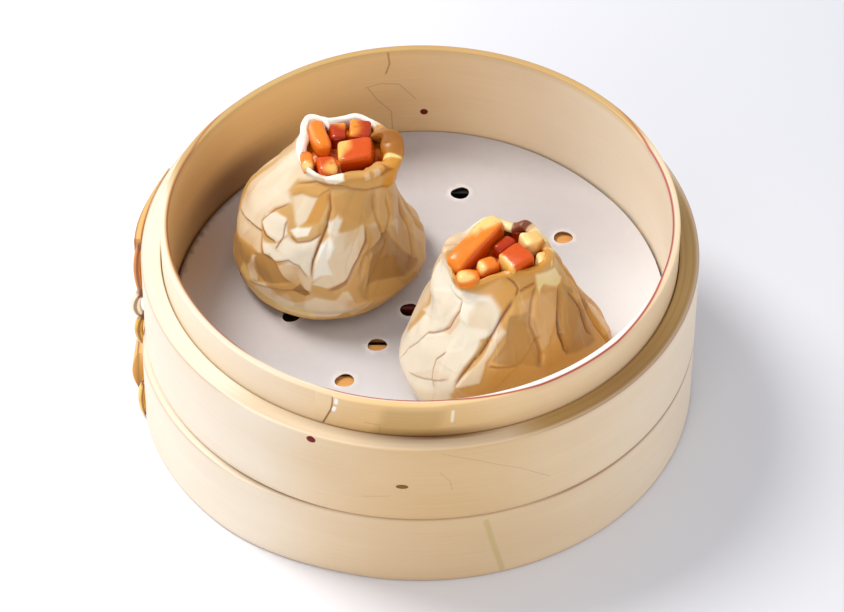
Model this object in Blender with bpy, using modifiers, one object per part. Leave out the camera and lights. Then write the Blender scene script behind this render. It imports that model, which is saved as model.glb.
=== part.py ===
"""Bamboo steamer basket holding two open-topped dumplings on a pierced paper liner.

Metres, +Z up. The basket stands on Z = 0, upright, and -Y is its front.
It is built in the order it is put together: the rings, the slatted floor, the paper, then
each dumpling as a dough wrapper round a filling, with diced pieces set in its open top.
"""

import math

import bmesh
import bpy
from mathutils import Matrix, Vector

for old_object in list(bpy.data.objects):
    bpy.data.objects.remove(old_object, do_unlink=True)

# Clearance between pieces that touch, and from a cutter to the piece that it seats.
GAP = 0.0003

# Rings and hoops, all turned about the basket's axis.
ROUND_STEPS = 60
HOOP_OUTER_RADIUS = 0.0750
HOOP_INNER_RADIUS = 0.0695
RING_OUTER_RADIUS = HOOP_INNER_RADIUS - GAP
RING_INNER_RADIUS = 0.0670
LOWER_HOOP_TOP = 0.0238
UPPER_HOOP_TOP = 0.0504
RING_BOTTOM = 0.0115
RING_TOP = 0.0612
RIM_ROUNDING = 0.0006

# The lower hoop stands further out on its left. The swell grows and fades between azimuths.
LOWER_SWELL = 0.0018
LOWER_SWELL_GROWS = (180.0, 196.0)
LOWER_SWELL_FADES = (226.0, 256.0)

# Slatted floor inside the inner ring.
FLOOR_RING_OUTER_RADIUS = RING_INNER_RADIUS - GAP
FLOOR_RING_INNER_RADIUS = 0.0642
FLOOR_RING_BOTTOM = 0.0120
FLOOR_RING_TOP = 0.0200
CROSSBAR_WIDTH = 0.0080
CROSSBAR_HEIGHT = 0.0050
CROSSBAR_SPACING = 0.0300
SLAT_PITCH = 0.0113
SLAT_WIDTH = 0.0085
SLAT_THICKNESS = 0.0024
SLAT_ROW_START = -0.05335
SLAT_COUNT = 11
CROSSBAR_BOTTOM = FLOOR_RING_TOP + GAP
SLAT_BOTTOM = CROSSBAR_BOTTOM + CROSSBAR_HEIGHT + GAP

# Paper liner, pierced by hand with rough rings of steam holes. Each ring has its middle, its
# radius and the azimuths of its holes.
PAPER_RADIUS = 0.0665
PAPER_THICKNESS = 0.0003
PAPER_BOTTOM = SLAT_BOTTOM + SLAT_THICKNESS + GAP
HOLE_RADIUS = 0.0025
HOLE_RINGS = (
    ((-0.0029, -0.0025), 0.0, (0,)),
    ((-0.0029, -0.0025), 0.016, (237.8, 297.8, 357.8, 57.8, 117.8, 177.8)),
    ((-0.0029, -0.0025), 0.032, (237.8, 297.8, 357.8, 57.8, 117.8, 184.5)),
    ((0.0010, -0.0050), 0.049, (78.2, 118.2, 158.2, 238.2, 275, 310, 345, 38.5)),
)

# Dough wrapper.
DOUGH_THICKNESS = 0.0012
WRAPPER_SEGMENTS = 36
DUMPLING_BOTTOM = PAPER_BOTTOM + PAPER_THICKNESS + GAP
FILLING_SEGMENTS = 20

parts = bpy.data.collections.new("siu_mai_steamer_basket")
cutters = bpy.data.collections.new("cutters")
bpy.context.scene.collection.children.link(parts)
bpy.context.scene.collection.children.link(cutters)


def make_material(name, colour, roughness, metallic=0.0):
    """A plain Principled material in the piece's own colour."""
    material = bpy.data.materials.new(name)
    material.use_nodes = True
    shader = material.node_tree.nodes["Principled BSDF"]
    shader.inputs["Base Color"].default_value = (*colour, 1.0)
    shader.inputs["Roughness"].default_value = roughness
    shader.inputs["Metallic"].default_value = metallic
    material.diffuse_color = (*colour, 1.0)
    return material


BAMBOO = make_material("bamboo", (0.76, 0.58, 0.36), 0.45)
BAMBOO_SLAT = make_material("bamboo_slat", (0.62, 0.40, 0.20), 0.55)
CANE = make_material("cane", (0.72, 0.42, 0.08), 0.35)
PEG = make_material("peg", (0.16, 0.03, 0.02), 0.60)
PAPER = make_material("paper", (0.83, 0.80, 0.78), 0.85)
DOUGH = make_material("dough", (0.80, 0.70, 0.56), 0.40)
FILLING = make_material("filling", (0.62, 0.22, 0.06), 0.35)
CARROT = make_material("carrot", (0.86, 0.28, 0.03), 0.30)
RED_DICE = make_material("red_dice", (0.66, 0.07, 0.01), 0.30)
PALE_DICE = make_material("pale_dice", (0.80, 0.58, 0.34), 0.35)


def add_object(name, mesh, material):
    """Put a mesh in the scene as a named piece with one material."""
    piece = bpy.data.objects.new(name, mesh)
    parts.objects.link(piece)
    mesh.materials.clear()
    mesh.materials.append(material)
    return piece


def finish_mesh(name, shape):
    """Turn a bmesh into a mesh whose faces point outwards, shaded smooth but for its edges."""
    bmesh.ops.remove_doubles(shape, verts=shape.verts, dist=1e-7)
    bmesh.ops.recalc_face_normals(shape, faces=shape.faces)
    mesh = bpy.data.meshes.new(name)
    shape.to_mesh(mesh)
    shape.free()
    mesh.shade_smooth()
    mesh.set_sharp_from_angle(angle=math.radians(35))
    return mesh


def at_azimuth(radius, azimuth, height):
    """The point at a radius and an azimuth in degrees, from +X towards +Y."""
    angle = math.radians(azimuth)
    return Vector((radius * math.cos(angle), radius * math.sin(angle), height))


def turned_ring(name, inner, outer, bottom, top, rounding, material):
    """A ring turned from a rectangle, with its two top edges eased where rounding isn't 0."""
    outline = [(outer, top), (outer, bottom), (inner, bottom), (inner, top)]
    if rounding:
        outline[0] = (outer, top - rounding)
        outline[3] = (inner, top - rounding)
        outline += [(inner + rounding, top), (outer - rounding, top)]
    mesh = bpy.data.meshes.new(name)
    corners = [(x, 0.0, z) for x, z in outline]
    edges = [(i, (i + 1) % len(outline)) for i in range(len(outline))]
    mesh.from_pydata(corners, edges, [])
    ring = add_object(name, mesh, material)
    screw = ring.modifiers.new("turn", "SCREW")
    screw.axis = "Z"
    screw.angle = 2 * math.pi
    screw.steps = ROUND_STEPS
    screw.render_steps = ROUND_STEPS
    screw.use_merge_vertices = True
    screw.merge_threshold = 0.00001
    return ring


def eased(value, start, end):
    """0 before start, 1 after end, and a smooth turn between them."""
    share = min(1.0, max(0.0, (value - start) / (end - start)))
    return share * share * (3 - 2 * share)


def lower_swell(azimuth):
    """How much further out the lower hoop stands on its left, where it is wound thicker."""
    rising = eased(azimuth, *LOWER_SWELL_GROWS)
    return LOWER_SWELL * rising * (1 - eased(azimuth, *LOWER_SWELL_FADES))


def wound_hoop(name, inner, outer, bottom, top, rounding, material):
    """A hoop with its two top edges eased, whose outside follows the lower hoop's swell."""
    shape = bmesh.new()
    rows = []
    for i in range(ROUND_STEPS):
        azimuth = 360 * i / ROUND_STEPS
        reach = outer + lower_swell(azimuth)
        outline = [
            (reach, bottom),
            (reach, top - rounding),
            (reach - rounding, top),
            (inner + rounding, top),
            (inner, top - rounding),
            (inner, bottom),
        ]
        rows.append([shape.verts.new(at_azimuth(x, azimuth, z)) for x, z in outline])
    for here, there in zip(rows, rows[1:] + rows[:1]):
        for j in range(len(here)):
            k = (j + 1) % len(here)
            shape.faces.new((here[j], here[k], there[k], there[j]))
    return add_object(name, finish_mesh(name, shape), material)


def add_cutter(name, mesh):
    """A guide solid that is only used by Boolean modifiers."""
    cutter = bpy.data.objects.new(name, mesh)
    cutters.objects.link(cutter)
    cutter.hide_render = True
    cutter.display_type = "WIRE"
    return cutter


def cut(piece, cutter):
    """Take a cutter's shape out of a piece."""
    boolean = piece.modifiers.new("cut_" + cutter.name, "BOOLEAN")
    boolean.operation = "DIFFERENCE"
    boolean.solver = "EXACT"
    boolean.object = cutter


# --- Rings: an inner ring stands inside two stacked hoops -----------------------------------

inner_ring = turned_ring("inner_ring", RING_INNER_RADIUS, RING_OUTER_RADIUS,
                         RING_BOTTOM, RING_TOP, RIM_ROUNDING, BAMBOO)
upper_hoop = turned_ring("outer_hoop_upper", HOOP_INNER_RADIUS, HOOP_OUTER_RADIUS,
                         LOWER_HOOP_TOP + GAP, UPPER_HOOP_TOP, RIM_ROUNDING, BAMBOO)
lower_hoop = wound_hoop("outer_hoop_lower", HOOP_INNER_RADIUS, HOOP_OUTER_RADIUS,
                        0.0, LOWER_HOOP_TOP, RIM_ROUNDING, BAMBOO)
floor_ring = turned_ring("floor_ring", FLOOR_RING_INNER_RADIUS, FLOOR_RING_OUTER_RADIUS,
                         FLOOR_RING_BOTTOM, FLOOR_RING_TOP, 0.0, BAMBOO_SLAT)


# --- Pegs: short bamboo pins that hold the layers, flush in their holes ----------------------

PEG_SIDES = 12


def radial_cylinder(name, azimuth, height, start, end, half_width, half_height):
    """A cylinder, oval if wanted, lying along a radius of the basket."""
    shape = bmesh.new()
    bmesh.ops.create_cone(shape, cap_ends=True, segments=PEG_SIDES, radius1=1.0, radius2=1.0,
                          depth=end - start)
    size = Matrix.Diagonal((half_height, half_width, 1.0, 1.0))
    lie_down = Matrix.Rotation(math.pi / 2, 4, "Y")
    place = Matrix.Translation(((start + end) / 2, 0.0, height))
    turn = Matrix.Rotation(math.radians(azimuth), 4, "Z")
    bmesh.ops.transform(shape, matrix=turn @ place @ lie_down @ size, verts=shape.verts)
    return finish_mesh(name, shape)


def add_peg(name, host, azimuth, height, inner, outer, half_width, half_height):
    """A peg flush with one face of its ring, in a hole that goes right through the ring."""
    mesh = radial_cylinder(name, azimuth, height, inner, outer, half_width, half_height)
    add_object(name, mesh, PEG)
    margin = 0.002
    hole = radial_cylinder(name + "_hole", azimuth, height, inner - margin, outer + margin,
                           half_width + GAP, half_height + GAP)
    cut(host, add_cutter(name + "_hole", hole))


HOOP_PEG_INNER = HOOP_INNER_RADIUS + GAP
HOOP_PEG_OUTER = HOOP_OUTER_RADIUS - 0.0001
add_peg("peg_front_left", upper_hoop, 248.3, 0.0490, HOOP_PEG_INNER, HOOP_PEG_OUTER,
        0.0013, 0.0010)
add_peg("peg_front", upper_hoop, 266.7, 0.0368, HOOP_PEG_INNER, HOOP_PEG_OUTER,
        0.0017, 0.0008)
add_peg("peg_back", upper_hoop, 68.0, 0.0380, HOOP_PEG_INNER, HOOP_PEG_OUTER,
        0.0013, 0.0010)
add_peg("peg_inside", inner_ring, 89.3, 0.0380, RING_INNER_RADIUS + 0.0001,
        RING_OUTER_RADIUS - GAP, 0.0010, 0.0009)


# --- Laps and lashings: each hoop's end is lapped outside it and tied down with cane ---------

LAP_STEPS = 10
LAP_FEATHER = 0.0002
LAP_FULL_AT = 0.9
CANE_SIDES = 6
CANE_STEPS = 8
CANE_ON_HOOP = HOOP_OUTER_RADIUS + GAP
KNOT_THICKNESS = 0.0032
KNOT_STAND = 0.0004
KNOT_REACH = CANE_ON_HOOP + KNOT_STAND + KNOT_THICKNESS


def loft(name, sections):
    """Skin a row of equal outlines, each a list of points, and close the two ends."""
    shape = bmesh.new()
    rows = [[shape.verts.new(point) for point in section] for section in sections]
    count = len(rows[0])
    for here, there in zip(rows, rows[1:]):
        for j in range(count):
            k = (j + 1) % count
            shape.faces.new((here[j], here[k], there[k], there[j]))
    shape.faces.new(rows[0])
    shape.faces.new(rows[-1])
    return finish_mesh(name, shape)


def lap_strip(name, start, end, bottom, top, thickness, bulge, on_lower=False):
    """A flat strip bent round the hoop from a feathered end to a thick one.

    start and end are azimuths in degrees. bulge is how far its middle stands out further.
    """
    sections = []
    for i in range(LAP_STEPS + 1):
        along = i / LAP_STEPS
        azimuth = start + (end - start) * along
        growth = min(1.0, along / LAP_FULL_AT)
        base = CANE_ON_HOOP + (lower_swell(azimuth) if on_lower else 0.0)
        outer = base + LAP_FEATHER + (thickness - LAP_FEATHER) * growth
        sections.append([
            at_azimuth(base, azimuth, bottom),
            at_azimuth(outer, azimuth, bottom),
            at_azimuth(outer + bulge * growth, azimuth, (bottom + top) / 2),
            at_azimuth(outer, azimuth, top),
            at_azimuth(base, azimuth, top),
        ])
    add_object(name, loft(name, sections), BAMBOO)


def cane_stitch(name, start, end, width, thickness, stand=0.0, on_lower=False):
    """One visible cane stitch: a flattened strand, widest in its middle, lying on a hoop.

    start and end are (azimuth, height) pairs. stand is how far it stands off the hoop.
    """
    sections = []
    for i in range(CANE_STEPS + 1):
        along = i / CANE_STEPS
        azimuth = start[0] + (end[0] - start[0]) * along
        middle = CANE_ON_HOOP + stand + thickness / 2
        if on_lower:
            middle += lower_swell(azimuth)
        height = start[1] + (end[1] - start[1]) * along
        swell = 0.25 + 0.75 * math.sin(math.pi * along) ** 0.6
        section = []
        for j in range(CANE_SIDES):
            turn = 2 * math.pi * j / CANE_SIDES
            radius = middle + thickness / 2 * swell * math.cos(turn)
            sideways = math.degrees(width / 2 * swell * math.sin(turn) / middle)
            section.append(at_azimuth(radius, azimuth + sideways, height))
        sections.append(section)
    add_object(name, loft(name, sections), CANE)


lap_strip("hoop_lap_upper", 156.0, 178.0, 0.0275, UPPER_HOOP_TOP - 0.0004, 0.0018, 0.0)
lap_strip("hoop_lap_lower", 162.0, 186.0, 0.0030, 0.0170, 0.0016, 0.0016, True)
cane_stitch("lashing_upper", (179.4, 0.0496), (182.4, 0.0358), 0.0030, 0.0023)
cane_stitch("lashing_knot", (182.4, 0.0354), (183.2, 0.0281), 0.0036, KNOT_THICKNESS,
            KNOT_STAND)
cane_stitch("lashing_drop", (183.2, 0.0278), (184.6, 0.0194), 0.0030, 0.0024, KNOT_STAND)
cane_stitch("lashing_lower", (189.4, 0.0100), (191.2, 0.0004), 0.0034, 0.0018, 0.0, True)
cane_stitch("lashing_upper_back", (153.6, 0.0470), (147.6, 0.0300), 0.0030, 0.0016)
cane_stitch("lashing_lower_back", (159.8, 0.0185), (159.8, 0.0030), 0.0030, 0.0016)


# --- Slatted floor: slats side by side on crossbars that rest on the floor ring --------------

def plank(name, length, width, thickness, centre, material):
    """A flat splint with its long edges along X and its edges eased."""
    bpy.ops.mesh.primitive_cube_add(size=1.0, location=centre)
    board = bpy.context.object
    board.name = name
    board.data.transform(Matrix.Diagonal((length, width, thickness, 1.0)))
    board.data.materials.append(material)
    for collection in list(board.users_collection):
        collection.objects.unlink(board)
    parts.objects.link(board)
    bevel = board.modifiers.new("eased", "BEVEL")
    bevel.width = 0.0004
    bevel.segments = 1
    return board


FLOOR_RADIUS = RING_INNER_RADIUS - 2 * GAP
for index in range(3):
    offset = (index - 1) * CROSSBAR_SPACING
    far_edge = abs(offset) + CROSSBAR_WIDTH / 2
    length = 2 * math.sqrt(FLOOR_RADIUS ** 2 - far_edge ** 2)
    middle = CROSSBAR_BOTTOM + CROSSBAR_HEIGHT / 2
    bar = plank(f"crossbar_{index + 1}", length, CROSSBAR_WIDTH, CROSSBAR_HEIGHT,
                (offset, 0.0, middle), BAMBOO_SLAT)
    bar.rotation_euler.z = math.pi / 2

for index in range(SLAT_COUNT):
    width = SLAT_WIDTH + 0.0006 * math.sin(2.7 * index)
    offset = SLAT_ROW_START + index * SLAT_PITCH + SLAT_PITCH * 0.01 * math.sin(4.1 * index)
    far_edge = abs(offset) + width / 2
    length = 2 * math.sqrt(FLOOR_RADIUS ** 2 - far_edge ** 2)
    plank(f"slat_{index + 1:02d}", length, width, SLAT_THICKNESS,
          (0.0, offset, SLAT_BOTTOM + SLAT_THICKNESS / 2), BAMBOO_SLAT)


# --- Paper liner: a flat disc cut with round steam holes -------------------------------------

def add_circle(curve, centre, radius, points):
    """One closed round outline in a flat curve."""
    outline = curve.splines.new("POLY")
    outline.points.add(points - 1)
    for i, point in enumerate(outline.points):
        turn = 2 * math.pi * i / points
        point.co = (centre[0] + radius * math.cos(turn), centre[1] + radius * math.sin(turn), 0, 1)
    outline.use_cyclic_u = True


def paper_liner():
    """The liner is a flat outline with thickness, drawn as one large circle round many small."""
    curve = bpy.data.curves.new("paper_liner_outline", "CURVE")
    curve.dimensions = "2D"
    curve.fill_mode = "BOTH"
    curve.extrude = PAPER_THICKNESS / 2
    add_circle(curve, (0.0, 0.0), PAPER_RADIUS, ROUND_STEPS)
    for middle, ring_radius, azimuths in HOLE_RINGS:
        for azimuth in azimuths:
            spoke = at_azimuth(ring_radius, azimuth, 0.0)
            add_circle(curve, (middle[0] + spoke.x, middle[1] + spoke.y), HOLE_RADIUS, 8)
    liner = bpy.data.objects.new("paper_liner", curve)
    parts.objects.link(liner)
    curve.materials.append(PAPER)
    liner.location.z = PAPER_BOTTOM + PAPER_THICKNESS / 2


paper_liner()


# --- Dumplings: a pleated dough bag round a filling, open at the top -------------------------

class Dumpling:
    """The sizes of one dumpling, and the shape of its skin at any height and azimuth.

    profile holds levels from the bottom to the lip: height above the bottom, half width
    along X, half depth along Y, and the X and Y of the level's middle. lobes are (azimuth,
    reach, spread) bumps that push the lip out or, with a negative reach, pinch it in.
    """

    def __init__(self, name, profile, pleats, pleat_depth, twist, lobes):
        self.name = name
        self.profile = profile
        self.pleats = pleats
        self.pleat_depth = pleat_depth
        self.twist = twist
        self.lobes = lobes
        self.tall = profile[-1][0]

    def fold(self, height):
        """How deep the pleats are at a height: none at the foot, deepest near the neck."""
        rise = min(max(height / self.tall, 0.0), 1.0)
        return self.pleat_depth * math.sin(math.pi * rise ** 1.4) ** 0.8

    def lip(self, height, azimuth):
        """How far the lobes push the skin out at a height and an azimuth."""
        rise = max(0.0, (height / self.tall - 0.72) / 0.28)
        reach = 0.0
        for middle, amount, spread in self.lobes:
            away = (azimuth - middle + 180) % 360 - 180
            reach += amount * math.exp(-(away / spread) ** 2)
        return reach * rise * rise

    def outside(self, level, azimuth):
        """A point on the outer skin."""
        height, half_width, half_depth, middle_x, middle_y = level
        wave = math.cos(math.radians(self.pleats * azimuth) + self.twist * height / self.tall)
        push = self.fold(height) * (0.5 * wave - 0.5) + self.lip(height, azimuth)
        angle = math.radians(azimuth)
        return Vector((
            middle_x + (half_width + push) * math.cos(angle),
            middle_y + (half_depth + push) * math.sin(angle),
            DUMPLING_BOTTOM + height,
        ))

    def inside(self, level, azimuth, margin):
        """A point a margin in from the smooth inner surface, which the pleats don't reach."""
        height, half_width, half_depth, middle_x, middle_y = level
        inset = self.fold(height) + DOUGH_THICKNESS + margin
        push = self.lip(height, azimuth) - inset
        height = max(height, DOUGH_THICKNESS + margin)
        angle = math.radians(azimuth)
        return Vector((
            middle_x + (half_width + push) * math.cos(angle),
            middle_y + (half_depth + push) * math.sin(angle),
            DUMPLING_BOTTOM + height,
        ))


LEFT = Dumpling(
    name="left",
    profile=(
        (0.0000, 0.0150, 0.0150, -0.0240, 0.0136),
        (0.0012, 0.0197, 0.0206, -0.0254, 0.0141),
        (0.0060, 0.0262, 0.0251, -0.0248, 0.0146),
        (0.0130, 0.0244, 0.0250, -0.0254, 0.0135),
        (0.0210, 0.0225, 0.0234, -0.0271, 0.0137),
        (0.0285, 0.0195, 0.0200, -0.0259, 0.0135),
        (0.0350, 0.0157, 0.0164, -0.0234, 0.0139),
        (0.0385, 0.0140, 0.0136, -0.0216, 0.0150),
        (0.0410, 0.0129, 0.0121, -0.0199, 0.0157),
        (0.0430, 0.0133, 0.0121, -0.0200, 0.0160),
    ),
    pleats=9,
    pleat_depth=0.0012,
    twist=1.6,
    lobes=((133, 0.0034, 24), (92, -0.0010, 9), (62, 0.0018, 20), (8, 0.0023, 28)),
)

RIGHT = Dumpling(
    name="right",
    profile=(
        (0.0000, 0.0170, 0.0170, 0.0240, -0.0260),
        (0.0012, 0.0230, 0.0235, 0.0239, -0.0259),
        (0.0060, 0.0284, 0.0280, 0.0236, -0.0260),
        (0.0125, 0.0271, 0.0273, 0.0230, -0.0262),
        (0.0200, 0.0236, 0.0248, 0.0219, -0.0263),
        (0.0270, 0.0202, 0.0214, 0.0221, -0.0254),
        (0.0330, 0.0179, 0.0175, 0.0210, -0.0241),
        (0.0380, 0.0159, 0.0134, 0.0210, -0.0231),
        (0.0405, 0.0152, 0.0117, 0.0209, -0.0227),
        (0.0430, 0.0153, 0.0111, 0.0205, -0.0222),
    ),
    pleats=10,
    pleat_depth=0.0016,
    twist=0.5,
    lobes=((155, 0.0012, 28), (65, 0.0016, 24)),
)

# Diced pieces in each mouth: name, material, centre, size along X, Y and Z, turn and tilt.
LEFT_TOPPINGS = (
    ("carrot_strip", CARROT, (-0.0273, 0.0193, 0.0712), (0.0043, 0.0105, 0.0052), 15, 6),
    ("carrot_drop", CARROT, (-0.0301, 0.0107, 0.0704), (0.0033, 0.0058, 0.0044), 8, -8),
    ("carrot_dice", CARROT, (-0.0248, 0.0086, 0.0702), (0.0048, 0.0054, 0.0046), 14, 5),
    ("brown_dice", RED_DICE, (-0.0221, 0.0212, 0.0703), (0.0041, 0.0061, 0.0048), 5, 0),
    ("red_dice", RED_DICE, (-0.0163, 0.0216, 0.0710), (0.0053, 0.0061, 0.0054), -4, 4),
    ("large_dice", CARROT, (-0.0172, 0.0130, 0.0711), (0.0090, 0.0076, 0.0060), 4, -10),
)
RIGHT_TOPPINGS = (
    ("carrot_baton", CARROT, (0.0146, -0.0208, 0.0708), (0.0182, 0.0058, 0.0062), 50, -9),
    ("carrot_lump", CARROT, (0.0124, -0.0318, 0.0690), (0.0054, 0.0038, 0.0042), 10, 8),
    ("carrot_dice", CARROT, (0.0180, -0.0284, 0.0699), (0.0048, 0.0042, 0.0044), 24, 4),
    ("large_dice", CARROT, (0.0251, -0.0272, 0.0709), (0.0066, 0.0066, 0.0066), 34, -8),
    ("pale_dice", PALE_DICE, (0.0290, -0.0201, 0.0712), (0.0051, 0.0047, 0.0052), 24, 10),
    ("pepper_dice", RED_DICE, (0.0257, -0.0147, 0.0696), (0.0042, 0.0042, 0.0044), 10, 0),
    ("pepper_strip", RED_DICE, (0.0220, -0.0206, 0.0696), (0.0034, 0.0056, 0.0042), -42, 0),
    ("brown_dice", PALE_DICE, (0.0325, -0.0256, 0.0696), (0.0042, 0.0048, 0.0044), 8, 5),
)

# The filling reaches this many of a profile's levels, and is domed a little above the last.
FILLING_LEVELS = 8
FILLING_DOME = 0.0012


def ring_of(point_at, segments):
    """Points all round a dumpling at one level."""
    return [point_at(360 * j / segments) for j in range(segments)]


def wrapper(dumpling):
    """The dough bag: up its pleated outside, over the lip and down its smooth inside."""
    sections = []
    for level in dumpling.profile:
        sections.append(ring_of(lambda a: dumpling.outside(level, a), WRAPPER_SEGMENTS))
    for level in reversed(dumpling.profile):
        sections.append(ring_of(lambda a: dumpling.inside(level, a, 0.0), WRAPPER_SEGMENTS))
    name = "wrapper_" + dumpling.name
    return add_object(name, loft(name, sections), DOUGH)


def filling(dumpling):
    """The filling fits the bag's inside and is heaped in the mouth."""
    sections = []
    for level in dumpling.profile[:FILLING_LEVELS]:
        sections.append(ring_of(lambda a: dumpling.inside(level, a, GAP), FILLING_SEGMENTS))
    edge = sections[-1]
    middle = sum(edge, Vector()) / len(edge)
    for inward in (0.35, 0.7):
        lift = Vector((0.0, 0.0, FILLING_DOME * math.sin(math.pi / 2 * inward)))
        sections.append([point.lerp(middle, inward) + lift for point in edge])
    name = "filling_" + dumpling.name
    return add_object(name, loft(name, sections), FILLING)


def dice_mesh(name, centre, size, turn, tilt, grow):
    """A block with eased edges, turned about Z and tilted about its own Y."""
    shape = bmesh.new()
    bmesh.ops.create_cube(shape, size=1.0)
    grown = [side + 2 * grow for side in size]
    bmesh.ops.transform(shape, matrix=Matrix.Diagonal((*grown, 1.0)), verts=shape.verts)
    rounding = 0.22 * min(size)
    bmesh.ops.bevel(shape, geom=shape.edges[:], offset=rounding, segments=1, affect="EDGES")
    turned = Matrix.Rotation(math.radians(turn), 4, "Z")
    tilted = Matrix.Rotation(math.radians(tilt), 4, "Y")
    place = Matrix.Translation(centre)
    bmesh.ops.transform(shape, matrix=place @ turned @ tilted, verts=shape.verts)
    return finish_mesh(name, shape)


def dress(dumpling, toppings):
    """Make a dumpling and set its diced pieces in pockets cut in what is under them."""
    bag = wrapper(dumpling)
    stuffing = filling(dumpling)
    for label, material, centre, size, turn, tilt in toppings:
        name = f"{label}_{dumpling.name}"
        add_object(name, dice_mesh(name, centre, size, turn, tilt, 0.0), material)
        pocket = dice_mesh(name + "_pocket", centre, size, turn, tilt, GAP)
        cutter = add_cutter(name + "_pocket", pocket)
        cut(stuffing, cutter)
        cut(bag, cutter)


dress(LEFT, LEFT_TOPPINGS)
dress(RIGHT, RIGHT_TOPPINGS)


# --- Frame: the lashings stand out on one side only, so the basket's axis is moved off the
# --- origin, which puts the middle of the whole object's footprint there

frame = bpy.data.objects.new("basket_axis", None)
parts.objects.link(frame)
frame.location.x = (KNOT_REACH - HOOP_OUTER_RADIUS) / 2
for piece in list(parts.objects) + list(cutters.objects):
    if piece is not frame:
        piece.parent = frame
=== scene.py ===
import math

import bmesh
import bpy
import numpy as np
from mathutils import Matrix, Vector
from mathutils.geometry import delaunay_2d_cdt


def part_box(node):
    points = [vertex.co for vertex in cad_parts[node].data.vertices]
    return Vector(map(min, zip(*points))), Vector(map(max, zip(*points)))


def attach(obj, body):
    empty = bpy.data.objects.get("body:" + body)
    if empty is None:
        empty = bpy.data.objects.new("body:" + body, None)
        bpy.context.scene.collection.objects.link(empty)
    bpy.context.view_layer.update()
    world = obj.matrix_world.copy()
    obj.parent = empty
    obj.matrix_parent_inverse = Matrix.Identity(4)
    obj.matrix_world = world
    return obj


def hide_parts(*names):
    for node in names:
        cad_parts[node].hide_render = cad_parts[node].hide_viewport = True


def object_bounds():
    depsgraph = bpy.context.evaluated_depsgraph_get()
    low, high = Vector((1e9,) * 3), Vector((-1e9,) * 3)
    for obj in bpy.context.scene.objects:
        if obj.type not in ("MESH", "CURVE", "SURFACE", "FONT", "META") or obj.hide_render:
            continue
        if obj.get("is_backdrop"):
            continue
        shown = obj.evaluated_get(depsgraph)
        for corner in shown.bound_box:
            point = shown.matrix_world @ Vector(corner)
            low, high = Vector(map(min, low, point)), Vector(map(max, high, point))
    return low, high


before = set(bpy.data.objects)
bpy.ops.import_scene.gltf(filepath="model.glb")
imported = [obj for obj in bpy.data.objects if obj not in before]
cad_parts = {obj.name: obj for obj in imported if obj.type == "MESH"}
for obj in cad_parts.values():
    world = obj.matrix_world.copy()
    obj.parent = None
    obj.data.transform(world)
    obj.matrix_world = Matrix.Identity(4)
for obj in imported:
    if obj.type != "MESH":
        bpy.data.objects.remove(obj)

cad_low, cad_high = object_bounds()

# ------------------------------------------------------------------ inner ring
# The wall of the basket: one tall strip of split bamboo, bent round while wet.
# Its two ends are shaved thin and lapped at the front, and at the right its rim top carries a painted
# highlight.
MM = 0.001
ring_low, ring_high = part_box("inner_ring")
AXIS = Vector(((ring_low.x + ring_high.x) / 2, (ring_low.y + ring_high.y) / 2, 0))
RING_RADIUS = (ring_high.x - ring_low.x) / 2
RING_WALL = 2.2 * MM
RING_SECTION_ROUNDING = 0.5 * MM
RING_LAP_START = 251.4
RING_MAP_START = RING_LAP_START - 4
RING_DENT_AT = 137
RING_HIGHLIGHT_AT = 315
STRIP_STEPS = 720


def ease(value, start, end):
    """0 before start, 1 after end, and a smooth turn between them."""
    share = np.clip((value - start) / (end - start), 0, 1)
    return share * share * (3 - 2 * share)


def hill(value, centre, spread):
    """A smooth hump of height 1 round centre."""
    return np.exp(-(((value - centre) / spread) ** 2))


def turned(degrees):
    """The same direction, between -180 and 180."""
    return (degrees + 180) % 360 - 180


def ripple(places, size, seed):
    """A smooth random swell of about -1 to 1 over places, with humps of that size."""
    draw = np.random.default_rng(seed)
    swell = np.zeros(places.shape[:-1])
    for _ in range(14):
        heading = draw.normal(size=3)
        heading *= draw.uniform(0.6, 1.4) * math.pi / size / np.linalg.norm(heading)
        swell += np.sin(places @ heading + draw.uniform(0, 2 * math.pi))
    return swell / 4


def skin(name, points, rounds=(True, True), run=None, marks=None, crisp=50, poles=False):
    """A closed mesh over a grid of points. run is the distances along and across it, for its UV map."""
    rows, columns = points.shape[:2]
    along = np.arange(rows if rounds[0] else rows - 1)
    across = np.arange(columns if rounds[1] else columns - 1)
    i, j = (grid.ravel() for grid in np.meshgrid(along, across, indexing="ij"))
    after_i, after_j = (i + 1) % rows, (j + 1) % columns
    corners = [(i, j), (after_i, j), (after_i, after_j), (i, after_j)]
    faces = np.stack([a * columns + b for a, b in corners], axis=1).tolist()
    if not (rounds[0] or poles):
        faces += [list(range(columns)), list(range(rows * columns))[-columns:]]
    mesh = bpy.data.meshes.new(name)
    mesh.from_pydata(points.reshape(-1, 3).tolist(), [], faces)
    if run is not None:
        steps = [(i, j), (i + 1, j), (i + 1, j + 1), (i, j + 1)]
        quads = np.stack([np.stack([run[0][a], run[1][b]], axis=1) for a, b in steps], axis=1)
        places = np.zeros((len(mesh.loops), 2))
        places[: quads.shape[0] * 4] = quads.reshape(-1, 2)
        mesh.uv_layers.new(name="run").data.foreach_set("uv", places.ravel())
    for key, values in (marks or {}).items():
        mark = mesh.attributes.new(key, "FLOAT", "POINT")
        mark.data.foreach_set("value", np.broadcast_to(values, (rows, columns)).ravel())
    shape = bmesh.new()
    shape.from_mesh(mesh)
    if poles:
        bmesh.ops.remove_doubles(shape, verts=shape.verts, dist=0.001 * MM)
    bmesh.ops.recalc_face_normals(shape, faces=shape.faces)
    shape.to_mesh(mesh)
    shape.free()
    mesh.shade_smooth()
    mesh.set_sharp_from_angle(angle=math.radians(crisp))
    return mesh


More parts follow.
